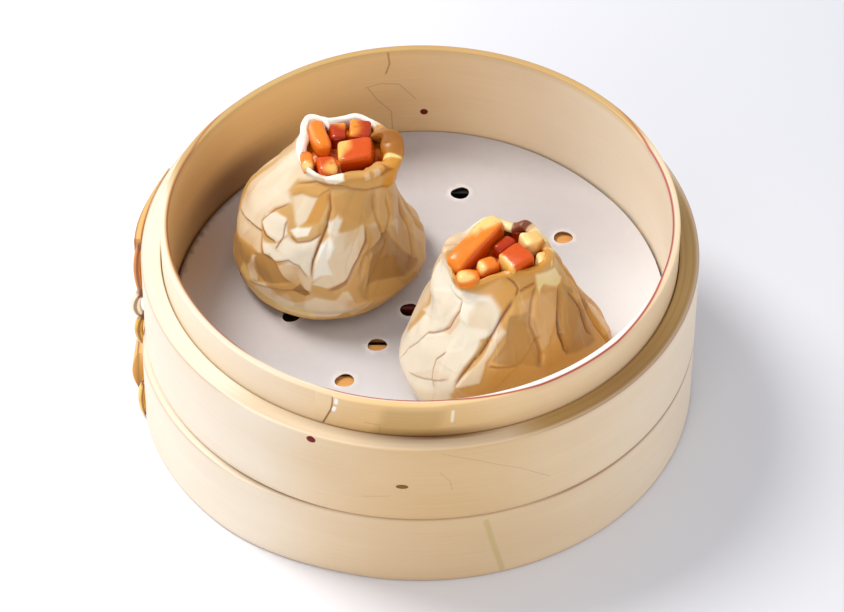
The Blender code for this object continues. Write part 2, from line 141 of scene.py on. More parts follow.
def place(mesh, finish, slot, *nodes):
    """The finished piece, standing for its CAD nodes."""
    piece = bpy.data.objects.new(mesh.name, mesh)
    bpy.context.scene.collection.objects.link(piece)
    mesh.materials.append(finish.material)
    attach(piece, "root")
    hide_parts(*nodes)
    return piece


def strip_outline(thickness, height, corner, points):
    """The section of a flat strip with rounded edges: distances outwards and upwards from its inner foot."""
    centres = [
        (thickness - corner, corner, -90),
        (thickness - corner, height - corner, 0),
        (corner, height - corner, 90),
        (corner, corner, 180),
    ]
    outline = []
    for number, (across, up, start) in enumerate(centres):
        for turn in np.radians(np.linspace(start, start + 90, 6)):
            outline.append((across + corner * math.cos(turn), up + corner * math.sin(turn)))
        here = np.array(outline[-1])
        ahead, above, heading = centres[(number + 1) % 4]
        heading = math.radians(heading)
        there = np.array([ahead + corner * math.cos(heading), above + corner * math.sin(heading)])
        count = points if number % 2 == 0 else 8
        outline += [tuple(here + (there - here) * k / count) for k in range(1, count)]
    return np.array(outline)


def lengths(outline):
    """How far along an outline each of its points is, and the whole way round."""
    edges = np.linalg.norm(np.diff(np.vstack([outline, outline[:1]]), axis=0), axis=1)
    return np.concatenate([[0], np.cumsum(edges)])


def on_strip(outline, radius, foot, start, azimuth, height, inside=False):
    """Where a point of a bent strip's outside or inside lies on the strip's own map."""
    side = np.abs(outline[:, 0] - (0 if inside else outline[:, 0].max())) < 0.001 * MM
    rises, ways = outline[side, 1], lengths(outline)[:-1][side]
    order = np.argsort(rises)
    way = np.interp(height * MM - foot, rises[order], ways[order])
    return math.radians((azimuth - start) % 360) * radius, way, 0


def bent_strip(name, radius, foot, outline, shape, start=0, turn=360, steps=STRIP_STEPS, close=()):
    """A strip bent about the basket's axis from the azimuth start, through turn degrees.

    shape gives how far each point moves out and up, and its marks. close has more places
    along the turn, for finer steps.
    """
    whole = turn == 360
    sweep = np.unique(np.concatenate([np.linspace(0, turn, steps + 1), close]))
    azimuth = start + (sweep[:-1] if whole else sweep)
    across, up = outline[:, 0], outline[:, 1]
    out, lift, marks = shape(azimuth[:, None], across[None, :], up[None, :])
    reach = radius + across[None, :] + out
    angle = np.radians(azimuth)[:, None]
    height = np.broadcast_to(foot + up[None, :] + lift, reach.shape)
    points = np.stack([AXIS.x + reach * np.cos(angle), AXIS.y + reach * np.sin(angle), height], axis=-1)
    return skin(name, points, (whole, True), (np.radians(sweep) * radius, lengths(outline)), marks)


class Wire:
    """One socket of a shader, so that shader maths reads as arithmetic."""

    def __init__(self, finish, socket):
        self.finish = finish
        self.socket = socket

    def maths(self, operation, first, second):
        return self.finish.node("ShaderNodeMath", {"operation": operation}, {0: first, 1: second})

    def __add__(self, other):
        return self.maths("ADD", self, other)

    def __sub__(self, other):
        return self.maths("SUBTRACT", self, other)

    def __rsub__(self, other):
        return self.maths("SUBTRACT", other, self)

    def __mul__(self, other):
        return self.maths("MULTIPLY", self, other)

    __radd__ = __add__
    __rmul__ = __mul__

    def within(self, start, end):
        """0 at start, 1 at end, and a smooth turn between them."""
        stops = {"Value": self, "From Min": start, "From Max": end}
        return self.finish.node("ShaderNodeMapRange", {"interpolation_type": "SMOOTHSTEP"}, stops)


class Finish:
    """One material: its shader's constant sockets, and the nodes behind the others."""

    def __init__(self, name, **constants):
        self.material = bpy.data.materials.new(name)
        self.material.use_nodes = True
        self.tree = self.material.node_tree
        self.shader = self.tree.nodes["Principled BSDF"]
        for key, value in constants.items():
            self.shader.inputs[key.replace("_", " ")].default_value = value

    def node(self, kind, settings=None, sockets=None, output=0):
        """A new node with its settings made first and then its sockets. It gives one output as a Wire."""
        made = self.tree.nodes.new(kind)
        for key, value in (settings or {}).items():
            setattr(made, key, value)
        for key, value in (sockets or {}).items():
            if isinstance(value, Wire):
                self.tree.links.new(value.socket, made.inputs[key])
            else:
                made.inputs[key].default_value = value
        return Wire(self, made.outputs[output])

    def mark(self, name):
        """One of the marks that a mesh carries, from 0 to 1."""
        return self.node("ShaderNodeAttribute", {"attribute_name": name}, output="Fac")

    def mix(self, share, first, second):
        """The first colour, and the second where share is 1."""
        return self.node("ShaderNodeMix", {"data_type": "RGBA"}, {0: share, 6: first, 7: second}, 2)

    def noise(self, places, stretch, detail=3):
        """Cloudy noise from 0 to 1. stretch is how many clouds there are to a metre each way."""
        spread = self.node("ShaderNodeVectorMath", {"operation": "MULTIPLY"}, {0: places, 1: stretch})
        return self.node("ShaderNodeTexNoise", None, {"Vector": spread, "Scale": 1, "Detail": detail})

    def vector(self, operation, first, second, output=0):
        return self.node("ShaderNodeVectorMath", {"operation": operation}, {0: first, 1: second}, output)

    def line(self, places, ends, width):
        """1 on the straight line between two ends and 0 beside it."""
        start, end = Vector(ends[0]), Vector(ends[1])
        run = end - start
        from_start = self.vector("SUBTRACT", places, start)
        share = self.vector("DOT_PRODUCT", from_start, run / run.length_squared, "Value")
        share = self.node("ShaderNodeClamp", None, {0: share})
        along = self.node("ShaderNodeVectorMath", {"operation": "SCALE"}, {0: run, "Scale": share})
        away = self.vector("DISTANCE", from_start, along, "Value")
        return 1 - away.within(0.3 * width, width)

    def lines(self, places, paths, width):
        """1 on any of some bent lines, each given as a row of points."""
        worn = None
        for path in paths:
            for ends in zip(path, path[1:]):
                line = self.line(places, ends, width)
                worn = line if worn is None else worn.maths("MAXIMUM", worn, line)
        return worn

    def wear(self, colour, roughness, height=None, depth=0.1 * MM, strength=0.6):
        """Joins the colour, the roughness and the relief to the shader."""
        self.tree.links.new(colour.socket, self.shader.inputs["Base Color"])
        self.tree.links.new(roughness.socket, self.shader.inputs["Roughness"])
        if height is not None:
            relief = {"Height": height, "Distance": depth, "Strength": strength}
            bump = self.node("ShaderNodeBump", None, relief)
            self.tree.links.new(bump.socket, self.shader.inputs["Normal"])


def tint(red, green, blue):
    """A colour given as a painter's 0 to 255, made linear for the shaders."""
    parts = [c / 255 for c in (red, green, blue)]
    return (*[((c + 0.055) / 1.055) ** 2.4 if c > 0.04045 else c / 12.92 for c in parts], 1)


def bamboo(name, pale, deep, stained=(120, 40, 10), streaks=()):
    """Split bamboo: long fine fibres, broad soft bands of tone, tan and aged parts, brown stains, painted
    shade and shadow, a painted rim highlight, and stained cut edges.

    streaks has rows of bent lines on the strip's own map, each with its width, strength and colour: marks in
    the wood, and on the ring also painted highlights.
    """
    finish = Finish(name, Coat_Weight=0.25, Coat_Roughness=0.35, IOR=1.45)
    run = finish.node("ShaderNodeUVMap", {"uv_map": "run"})
    bands = finish.noise(run, (14, 45, 1))
    fibres = finish.noise(run, (30, 2600, 1), 4)
    tone = ((bands - 0.5) * 0.9 + (fibres - 0.5) * 0.45 + 0.4).within(0, 1)
    colour = finish.mix(tone, tint(*pale), tint(*deep))
    tan = finish.mix(tone, tint(244, 206, 142), tint(224, 174, 100))
    colour = finish.mix(finish.mark("tan"), colour, tan)
    # Age on the ring's lap and rim, and painted shade and shadow on the hoops, in one olive tone.
    aged_and_shade = finish.mix(tone, tint(196, 162, 100), tint(176, 138, 74))
    colour = finish.mix(finish.mark("aged_and_shade"), colour, aged_and_shade)
    # Painted shade and shadow, and the brown stain on the rim's line, in one dark brown.
    colour = finish.mix(finish.mark("brown_stain_and_shade"), colour, tint(126, 80, 36))
    # A painted highlight on the ring's rim top at the right, and the pale shaved tail of each lap.
    colour = finish.mix(finish.mark("bare_and_highlight"), colour, tint(255, 251, 243))
    for paths, width, strength, shade in streaks:
        colour = finish.mix(finish.lines(run, paths, width) * strength, colour, tint(*shade))
    colour = finish.mix(finish.mark("stain"), colour, tint(*stained))
    finish.wear(colour, fibres * 0.25 + 0.36, fibres, 0.06 * MM)
    return finish


# The rim's dark line by azimuth: how far out it runs, in mm, and how dark it is.
RIM_LINE_AT = (0, 24, 40, 142, 158, 190, 225, 233, 246, 252, 276, 297, 318, 342, 360)
RIM_LINE_OUT = (0.3, 0.3, 2.1, 2.1, 0.3, 0.3, 0.3, 0.3, 0.3, 0.3, 0.4, 1.9, 1.9, 0.3, 0.3)
RIM_LINE_DARK = (1.0, 1.0, 0.4, 0.5, 0.7, 1.0, 0.9, 0.2, 0.1, 1.0, 1.0, 1.0, 1.0, 1.0, 1.0)


def round_about(azimuth, middle, spread):
    """A smooth hump of height 1 round one azimuth."""
    return hill(turned(azimuth - middle), 0, spread)


def ring_shape(azimuth, across, up):
    """The bent ring isn't quite round: it sways, has one dent, and its outer end laps over at the front."""
    height = ring_low.z + up
    under_rim = (ring_high.z - ring_low.z) - up
    outside = across > RING_WALL * 0.55
    inside = across < RING_WALL * 0.45
    edge = ease(under_rim, 0.75 * MM, 0.1 * MM)

    sway = 0.15 * MM * np.sin(np.radians(2 * azimuth + 30)) + 0.1 * MM * np.sin(np.radians(3 * azimuth))
    dented = round_about(azimuth, RING_DENT_AT, 24)
    out = sway - 0.8 * MM * dented * ease(height, 20 * MM, 60 * MM)
    lift = -0.5 * MM * dented * ease(height, 50 * MM, 60 * MM)

    # The lap's cut end slants to the left on its way down, and fades out on its far side.
    seam = RING_LAP_START - 0.4 * ease(height, 60 * MM, 56 * MM) - 1.8 * ease(height, 56.5 * MM, 50 * MM)
    past_seam = turned(azimuth - seam)
    lapped = ease(past_seam, -0.1, 0.15) * (1 - ease(past_seam, 22, 26))
    out = out + 0.4 * MM * lapped * outside * ease(height, 49.6 * MM, 50.6 * MM)

    # The rim's dark line is red, or brown on the left. Inside it, at the right, a painted highlight turns the
    # rim top near white.
    line_at = np.interp(azimuth % 360, RIM_LINE_AT, RIM_LINE_OUT) * MM
    strength = np.interp(azimuth % 360, RIM_LINE_AT, RIM_LINE_DARK)
    line = strength * edge * hill(across, line_at, 0.36 * MM)
    brown = ease(azimuth % 360, 150, 170) * (1 - ease(azimuth % 360, 244, 250))
    stain = line * (1 - 0.65 * brown)
    from_highlight = turned(azimuth - RING_HIGHLIGHT_AT)
    highlight_span = ease(from_highlight, -42, -24) * (1 - ease(from_highlight, 20, 36))
    bare_and_highlight = highlight_span * edge * ease(line_at - across, 0, 0.3 * MM)

    # Age has turned the lap olive below its edge, and the back of the rim tan.
    olive = ease(past_seam, 9.5, 12.5) * (1 - ease(past_seam, 22, 26)) * ease(under_rim, 1.4 * MM, 2.6 * MM)
    lap_age = (0.2 * ease(past_seam, 0, 0.2) + 0.5 * olive) * (1 - ease(past_seam, 22, 40))
    rim_back = edge * ease(turned(azimuth - 20), 0, 16) * ease(turned(azimuth - 176), 0, -16)
    aged_and_shade = np.maximum(outside * (1 - edge) * lap_age, 0.75 * rim_back)
    # The inside wall turns tan towards its left and back: part its own tone, part painted shade.
    shaded_tan_inside = ease(turned(azimuth - 34), 0, 92) * ease(turned(azimuth - 215), 0, -20)
    tan_outside = 0.5 * round_about(azimuth, 268, 26) + 0.45 * ease(turned(azimuth - 232), 0, 30)
    tan = np.maximum(np.where(inside, shaded_tan_inside, tan_outside), rim_back)

    # Painted shade darkens the wall behind the left dumpling and, a little, the front faces, and a painted
    # shadow the foot of the ring over the ledge.
    shade_behind_food = 0.85 * inside * ease(height, 47 * MM, 36 * MM) * round_about(azimuth, 142, 20)
    shadow_over_ledge = 0.7 * outside * ease(height, 52 * MM, 51 * MM) * round_about(azimuth, 273, 13)
    # Painted shade on the front faces.
    front = 0.1 * outside * (1 - edge) * round_about(azimuth, 274, 24)
    brown_stain_and_shade = np.maximum.reduce(np.broadcast_arrays(shade_behind_food, shadow_over_ledge, brown * line, front))
    return out, lift, {"stain": stain, "aged_and_shade": aged_and_shade, "tan": tan * (1 - bare_and_highlight), "brown_stain_and_shade": brown_stain_and_shade, "bare_and_highlight": bare_and_highlight}


ring_outline = strip_outline(RING_WALL, ring_high.z - ring_low.z, RING_SECTION_ROUNDING, 26)


def on_ring(path, inside=False):
    """A path given by azimuths and heights in mm, on the ring's own map."""
    place_at = (ring_outline, RING_RADIUS - RING_WALL, ring_low.z, RING_MAP_START)
    return [on_strip(*place_at, azimuth, height, inside) for azimuth, height in path]


# Each has its lines, their width, how strong they are, and their colour. The near-white ones are painted
# highlights.
ring_streaks = (
    ([on_ring([(251.4, 60.6), (251.3, 58), (251, 56), (249.2, 50.4)])], 0.36 * MM, 0.9, (128, 84, 30)),
    ([on_ring([(258.5, 54), (261.7, 53.6), (261.7, 51)])], 0.22 * MM, 0.35, (150, 116, 66)),
    # Painted highlights: white glints beside the seam.
    (
        [on_ring([(252.3, 60.2), (252.2, 59)]), on_ring([(251.9, 57.2), (251.6, 56.2)])],
        0.7 * MM,
        0.95,
        (255, 254, 250),
    ),
    # A painted highlight: a white glint on the lap.
    ([on_ring([(277.2, 58.6), (277.0, 55)])], 0.6 * MM, 0.8, (250, 240, 214)),
    ([on_ring([(98, 60.6), (97.6, 56.6), (98.5, 53)], True)], 0.42 * MM, 0.6, (164, 92, 36)),
    (
        [
            on_ring([(103.4, 48.6), (99.9, 49.4), (95.3, 48.6), (91.4, 43)], True),
            on_ring([(102.8, 48.2), (100.6, 43.5), (97.2, 38.5), (96.9, 31.9)], True),
        ],
        0.26 * MM,
        0.38,
        (150, 108, 54),
    ),
)
RING_BAMBOO = bamboo("bamboo_ring", (248, 236, 214), (236, 214, 182), (168, 40, 4), ring_streaks)
near_seam = np.concatenate([np.arange(0.5, 7, 0.12), np.arange(24, 30, 0.2)])
ring = bent_strip(
    "tall_ring",
    RING_RADIUS - RING_WALL,
    ring_low.z,
    ring_outline,
    ring_shape,
    RING_MAP_START,
    steps=660,
    close=near_seam,
)
place(ring, RING_BAMBOO, "bamboo", "inner_ring")

# ----------------------------------------------------------------- outer hoops
# Two shorter hoops, each of several turns of a thinner strip, pressed over the
# ring. The upper one stops 11 mm under the rim, which leaves a ledge for a lid.
HOOP_RADIUS = 75 * MM
HOOP_WALL = 5.5 * MM
HOOP_ROUNDING = 0.6 * MM
LEDGE_SHADOW_AT = 325


def lower_swell(azimuth):
    """How much further out the lower hoop stands on its left, where it is wound thicker."""
    turn = azimuth % 360
    return 1.8 * MM * ease(turn, 180, 196) * (1 - ease(turn, 226, 256))


def hoop_shape(full, upper):
    """The shape of one hoop, full high. Only the upper one has the ledge that the lid rests on."""

    def shape(azimuth, across, up):
        under_top = full - up
        on_top = under_top < 0.3 * MM
        sway = 0.12 * MM * np.sin(np.radians(2 * azimuth - 50)) - 0.12 * MM
        swell = 0 if upper else lower_swell(azimuth)
        out = np.where(across > HOOP_WALL * 0.6, sway + swell, 0)

        # Cut edges take up stain, and so do the lines between the turns of the strip on the top face.
        top_edge = hill(np.hypot(across - HOOP_WALL, under_top), 0.1 * MM, 0.34 * MM)
        foot_edge = hill(np.hypot(across - HOOP_WALL, up), 0.1 * MM, 0.34 * MM)
        front = ease(turned(azimuth - 222), 0, 14) * (1 - ease(turned(azimuth - 288), 0, 16))
        left = ease(turned(azimuth - 160), 0, 20) * (1 - ease(turned(azimuth - 222), 0, 14))
        turns = hill(np.abs(across - HOOP_WALL * 0.5), HOOP_WALL * 0.17, 0.16 * MM) * (under_top < 0.2 * MM)
        lift = -0.18 * MM * turns
        stain = top_edge * (0.75 - 0.7 * front - 0.3 * left) + foot_edge * (0.55 if upper else 0.8)
        stain = stain + 0.4 * turns * (1 - front) * (1 - left)

        # The ledge is painted olive as shadow at the right and the front, where the ring shades it. The faces
        # are tan at the front, and painted a little darker there as shade.
        ledge = on_top * ease(across, HOOP_WALL - 0.2 * MM, HOOP_WALL - 0.9 * MM)
        face = 1 - ledge
        past = turned(azimuth - LEDGE_SHADOW_AT)
        ledge_shadow = np.maximum(0.45 * front, ease(past, -46, -26) * (1 - 0.7 * ease(past, 42, 70)))
        aged_and_shade = np.maximum(ledge * ledge_shadow, 0.36 * face * round_about(azimuth, 284, 40))
        front_tan = (0.55 if upper else 0.35) * round_about(azimuth, 272, 28)
        tan = face * (0.16 + front_tan) * ease(turned(azimuth - 232), 0, 20)

        # Painted shadow where the ledge meets the ring and across the ledge, and painted shade on the front
        # faces.
        shadow_at_ring = 0.9 * upper * ledge * (1 - ease(across, 0.9 * MM, 1.9 * MM)) * round_about(azimuth, 275, 12)
        shadow_on_ledge = 0.34 * ledge * hill(past, -6, 20)
        shade_on_face = 0.15 * face * round_about(azimuth, 270, 26)
        brown_stain_and_shade = np.maximum(np.maximum(shadow_at_ring, shadow_on_ledge), shade_on_face)
        return out, lift, {"stain": stain, "aged_and_shade": aged_and_shade, "tan": tan, "brown_stain_and_shade": brown_stain_and_shade}

    return shape


# Each hoop's node and piece, where its map starts, and its streaks. A streak has its lines, its width
# in mm, its strength and its colour.
for node, name, start, streaks in (
    (
        "outer_hoop_upper",
        "upper_hoop",
        180.6,
        (
            ([[(274.6, 49.2), (281.3, 45.7), (290.4, 39.3), (297, 32.5)]], 0.2, 0.3, (150, 112, 70)),
            ([[(274.2, 42.1), (276.2, 38.6), (276.6, 35.3)]], 0.22, 0.28, (150, 112, 70)),
            ([[(258.9, 31.8), (264.3, 33.0)]], 0.22, 0.28, (150, 112, 70)),
        ),
    ),
    (
        "outer_hoop_lower",
        "lower_hoop",
        100.0,
        (([[(283.6, 21.5), (285.2, 12), (287.2, 1.5)]], 1.1, 0.5, (186, 164, 96)),),
    ),
):
    hoop_low, hoop_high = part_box(node)
    full = hoop_high.z - hoop_low.z
    outline = strip_outline(HOOP_WALL, full, HOOP_ROUNDING, 20)
    hoop_map = (outline, HOOP_RADIUS - HOOP_WALL, hoop_low.z, start)
    drawn = [
        ([[on_strip(*hoop_map, *spot) for spot in path] for path in paths], width * MM, strength, shade)
        for paths, width, strength, shade in streaks
    ]
    finish = bamboo(f"bamboo_{name}", (248, 238, 220), (234, 214, 184), (134, 66, 14), drawn)
    shape = hoop_shape(full, node == "outer_hoop_upper")
    hoop = bent_strip(name, HOOP_RADIUS - HOOP_WALL, hoop_low.z, outline, shape, start)
    place(hoop, finish, "bamboo", node)

# ----------------------------------------------------------------- hoop laps
# Where a hoop's strip ends, its last stretch lies over the turn below it. The end
# is shaved to nothing on one side and cut square on the other.
HOOP_OUTER = HOOP_RADIUS + 0.05 * MM
LAP_BAMBOO = bamboo("bamboo_lap", (252, 196, 92), (206, 128, 34), (112, 54, 8))


def lap_shape(start, end, full, thick, on_lower):
    """The shape of one lap, which thickens from start to end. The lower one lies on the hoop's swell."""

    def shape(azimuth, across, up):
        share = ease((azimuth - start) / (end - start), 0, 0.9)
        belly = np.sin(math.pi * np.clip(up / full, 0, 1)) * (across > thick * 0.5)
        thinned = across * (1 - (0.15 + 0.85 * share))
        out = on_lower * (lower_swell(azimuth) + 1.6 * MM * share * belly) - thinned
        from_edge = np.minimum(up, full - up)
        stain = hill(from_edge, 0, 0.4 * MM) * hill(across, thick, 0.5 * MM)
        top = (full - up < 0.3 * MM) * (1 - stain)
        bare_and_highlight = np.maximum(0.1 * top, 0.85 * (1 - top) * ease(share, 0.95, 0.45))
        return out, np.zeros_like(out), {"stain": stain, "bare_and_highlight": bare_and_highlight, "tan": 0.2 * top}

    return shape


# Each lap's node and piece, its two ends by azimuth, its foot, top and thickness, and 1 for the lower one.
for node, name, start, end, low, high, thick, on_lower in (
    ("hoop_lap_upper", "upper_lap", 156.0, 178.0, 27.5 * MM, 50.0 * MM, 1.9 * MM, 0),
    ("hoop_lap_lower", "lower_lap", 162.0, 186.0, 3.0 * MM, 17.0 * MM, 1.7 * MM, 1),
):
    outline = strip_outline(thick, high - low, 0.35 * thick, 10)
    shape = lap_shape(start, end, high - low, thick, on_lower)
    lap = bent_strip(name, HOOP_OUTER, low, outline, shape, start, end - start, 60)
    place(lap, LAP_BAMBOO, "bamboo", node)

# ------------------------------------------------------------------- lashings
# Glossy split cane, threaded through slits in the hoops and pulled over the laps.
# Each stitch shows as a rounded bar that dives into the bamboo at both ends.
STITCH_STEPS = 41
STITCH_AROUND = 28
CANE = Finish("cane", Coat_Weight=0.6, Coat_Roughness=0.12, IOR=1.5)
cane_run = CANE.node("ShaderNodeUVMap", {"uv_map": "run"})
cane_fibres = CANE.noise(cane_run, (120, 2200, 1))
cane_bands = CANE.noise(cane_run, (160, 120, 1))
cane_tone = cane_bands * 0.8 + cane_fibres * 0.4 - 0.1
cane_colour = CANE.mix(cane_tone.within(0.2, 0.8), tint(250, 212, 92), tint(222, 150, 34))
cane_colour = CANE.mix(CANE.mark("amber"), cane_colour, tint(206, 112, 18))
cane_colour = CANE.mix(CANE.mark("cream"), cane_colour, tint(252, 246, 222))
cane_colour = CANE.mix(CANE.mark("stain"), cane_colour, tint(120, 58, 8))
CANE.wear(cane_colour, cane_fibres * 0.2 + 0.2, cane_fibres, 0.05 * MM)


def stitch(name, node, start, end, width, thick, stand=0.0, on_lower=False, cream=0.0, amber=0.0):
    """A stitch of cane between two ends on the hoops, each an azimuth and a height in mm.

    stand is how far it stands off them, in mm. cream and amber are its marks.
    """
    share = np.linspace(0, 1, STITCH_STEPS)
    turn = start[0] + (end[0] - start[0]) * share
    azimuth = np.radians(turn)
    height = (start[1] + (end[1] - start[1]) * share) * MM
    belly = np.sin(math.pi * share) ** 0.45
    swell = lower_swell(turn) if on_lower else 0
    reach = HOOP_OUTER + swell + stand * MM * belly - 0.4 * MM + thick * 0.6 * belly
    outward = np.stack([np.cos(azimuth), np.sin(azimuth), 0 * share], axis=1)
    middle = outward * reach[:, None] + np.array([AXIS.x, AXIS.y, 0])
    middle[:, 2] = height
    ahead = np.gradient(middle, axis=0)
    ahead /= np.linalg.norm(ahead, axis=1, keepdims=True)
    side = np.cross(ahead, outward)
    side /= np.linalg.norm(side, axis=1, keepdims=True)
    lifted = np.cross(side, ahead)
    round_turn = np.linspace(0, 2 * math.pi, STITCH_AROUND, endpoint=False)
    flat = np.sign(np.cos(round_turn)) * np.abs(np.cos(round_turn)) ** 0.7
    full = np.sin(round_turn)
    slim = 0.5 + 0.5 * belly
    points = (
        middle[:, None]
        + side[:, None] * (flat[None, :] * width / 2 * slim[:, None])[..., None]
        + lifted[:, None] * (full[None, :] * thick / 2 * slim[:, None])[..., None]
    )
    run = (share * 20 * MM, np.linspace(0, 2 * width, STITCH_AROUND + 1))
    stain = 1 - ease(belly[:, None], 0.3, 0.65) + 0.8 * (np.abs(flat[None, :]) > 0.93)
    marks = {"stain": np.clip(stain, 0, 1), "cream": cream, "amber": amber}
    place(skin(name, points, (False, True), run, marks), CANE, "cane", node)


stitch("stitch_upper", "lashing_upper", (179.4, 49.6), (182.4, 35.8), 3.0 * MM, 2.3 * MM, amber=0.8)
stitch("stitch_knot", "lashing_knot", (182.4, 35.4), (183.2, 28.1), 3.4 * MM, 3.0 * MM, 0.6, cream=0.9)
stitch("stitch_drop", "lashing_drop", (183.2, 27.8), (184.6, 19.4), 3.0 * MM, 2.4 * MM, 0.4, amber=0.2)
stitch("stitch_lower", "lashing_lower", (189.4, 10.0), (191.2, 0.6), 3.4 * MM, 1.9 * MM, 0.0, True)
stitch("stitch_back", "lashing_upper_back", (153.6, 47.0), (147.6, 30.0), 3.0 * MM, 1.6 * MM)
stitch("stitch_foot", "lashing_lower_back", (159.8, 18.5), (159.8, 3.0), 3.0 * MM, 1.6 * MM)

# ----------------------------------------------------------------------- pegs
# Short pins of dark hardwood, driven through the walls and cut off flush, which
# keep the ring and the hoops from sliding on each other.
PEG_AROUND = 24
PEG_WOOD = Finish("peg_wood", IOR=1.35)
peg_places = PEG_WOOD.node("ShaderNodeTexCoord", output="Object")
peg_grain = PEG_WOOD.noise(peg_places, (900, 900, 900))
peg_colour = PEG_WOOD.mix(peg_grain, tint(84, 4, 2), tint(132, 14, 8))
peg_colour = PEG_WOOD.mix(PEG_WOOD.mark("brown"), peg_colour, tint(128, 86, 28))
PEG_WOOD.wear(peg_colour, peg_grain * 0.2 + 0.5)
# How far each ring of points lies behind the pin's face, in mm, and its share of the full size.
PEG_ROWS = np.array([(2.2, 1.0), (0.25, 1.0), (0.1, 0.95), (0.02, 0.8), (0, 0.5), (0, 0.15)])
# Each face's distance from the axis is in mm. The inside pin's has a minus, as it looks the other way.
for node, name, azimuth, height, half_width, half_height, face, brown in (
    ("peg_front_left", "pin_front_left", 248.3, 49.0, 1.35, 1.15, 75.1, 0),
    ("peg_front", "pin_front", 266.7, 36.8, 1.7, 0.8, 75.1, 1),
    ("peg_back", "pin_back", 68.0, 38.0, 1.3, 1.0, 75.1, 0),
    ("peg_inside", "pin_inside", 89.3, 38.0, 1.1, 1.0, -66.55, 0),
):
    angle = math.radians(azimuth)
    outward = np.array([math.cos(angle), math.sin(angle), 0])
    side = np.array([-math.sin(angle), math.cos(angle), 0])
    turn = np.linspace(0, 2 * math.pi, PEG_AROUND, endpoint=False)
    depth = abs(face) - PEG_ROWS[:, 0] * np.sign(face)
    centre = np.array([AXIS.x, AXIS.y, height * MM])
    points = (
        centre
        + outward * (depth * MM)[:, None, None]
        + side * (np.outer(PEG_ROWS[:, 1], np.cos(turn)) * half_width * MM)[..., None]
        + np.array([0, 0, 1]) * (np.outer(PEG_ROWS[:, 1], np.sin(turn)) * half_height * MM)[..., None]
    )
    place(skin(name, points, (False, True), None, {"brown": brown}), PEG_WOOD, "peg", node)

# ---------------------------------------------------------------- floor frame
# Under the paper a low ring of bamboo lies inside the wall, and three bars cross
# it. They carry the slats, and steam rises between them.
SLAT_BAMBOO = Finish("bamboo_slats", Coat_Weight=0.1, Coat_Roughness=0.4, IOR=1.45)
slat_places = SLAT_BAMBOO.node("ShaderNodeTexCoord", output="Object")
slat_fibres = SLAT_BAMBOO.noise(slat_places, (60, 1500, 1500), 4)
slat_bands = SLAT_BAMBOO.noise(slat_places, (12, 90, 90))
slat_tone = (slat_fibres * 0.5 + slat_bands * 0.7 - 0.1).within(0, 1)
slat_colour = SLAT_BAMBOO.mix(slat_tone, tint(246, 190, 110), tint(206, 128, 58))
# Painted shadow: dark spots on the slats under three of the paper's holes, two black and one dark red, stand
# for the shade seen down those holes.
HOLE_SHADOWS = ((11.0, 42.8, (12, 8, 4)), (-35.0, -5.0, (12, 8, 4)), (-3.0, -2.5, (92, 22, 6)))
HOLE_SHADOW_HEIGHT = 27 * MM
for shadow_x, shadow_y, shade in HOLE_SHADOWS:
    shadow_spot = (AXIS.x + shadow_x * MM, AXIS.y + shadow_y * MM, HOLE_SHADOW_HEIGHT)
    away = SLAT_BAMBOO.vector("DISTANCE", slat_places, shadow_spot, "Value")
    slat_colour = SLAT_BAMBOO.mix(1 - away.within(3.6 * MM, 5.5 * MM), slat_colour, tint(*shade))
SLAT_BAMBOO.wear(slat_colour, slat_fibres * 0.25 + 0.4, slat_fibres, 0.08 * MM)


def plain_shape(azimuth, across, up):
    """A strip that is quite round, with no stains."""
    level = np.zeros((azimuth + across).shape)
    return level, level, {"stain": 0, "aged_and_shade": 0}


RAIL_WALL = 2.5 * MM
rail_low, rail_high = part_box("floor_ring")
rail_inside = (rail_high.x - rail_low.x) / 2 - RAIL_WALL
rail_outline = strip_outline(RAIL_WALL, rail_high.z - rail_low.z, 0.5 * MM, 6)
rail = bent_strip("floor_rail", rail_inside, rail_low.z, rail_outline, plain_shape, 20, 360, 180)
place(rail, RING_BAMBOO, "bamboo_slat", "floor_ring")


def bar(name, low, high, corner, node):
    """A straight bar with rounded edges between two corners of its box."""
    shape = bmesh.new()
    bmesh.ops.create_cube(shape, size=1)
    for corner_point in shape.verts:
        for k in range(3):
            corner_point.co[k] = low[k] if corner_point.co[k] < 0 else high[k]
    bmesh.ops.bevel(shape, geom=shape.edges[:], offset=corner, segments=4, profile=0.5, affect="EDGES")
    mesh = bpy.data.meshes.new(name)
    shape.to_mesh(mesh)
    shape.free()
    mesh.shade_smooth()
    mesh.set_sharp_from_angle(angle=math.radians(40))
    place(mesh, SLAT_BAMBOO, "bamboo_slat", node)


for number in (1, 2, 3):
    bar_low, bar_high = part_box(f"crossbar_{number}")
    bar(f"cross_bar_{number}", bar_low, bar_high, 0.8 * MM, f"crossbar_{number}")

# ---------------------------------------------------------------------- slats
# Eleven split laths lie side by side across the bars, each cut to the round wall,
# with gaps between them that let the steam through.
SLAT_COUNT = 11


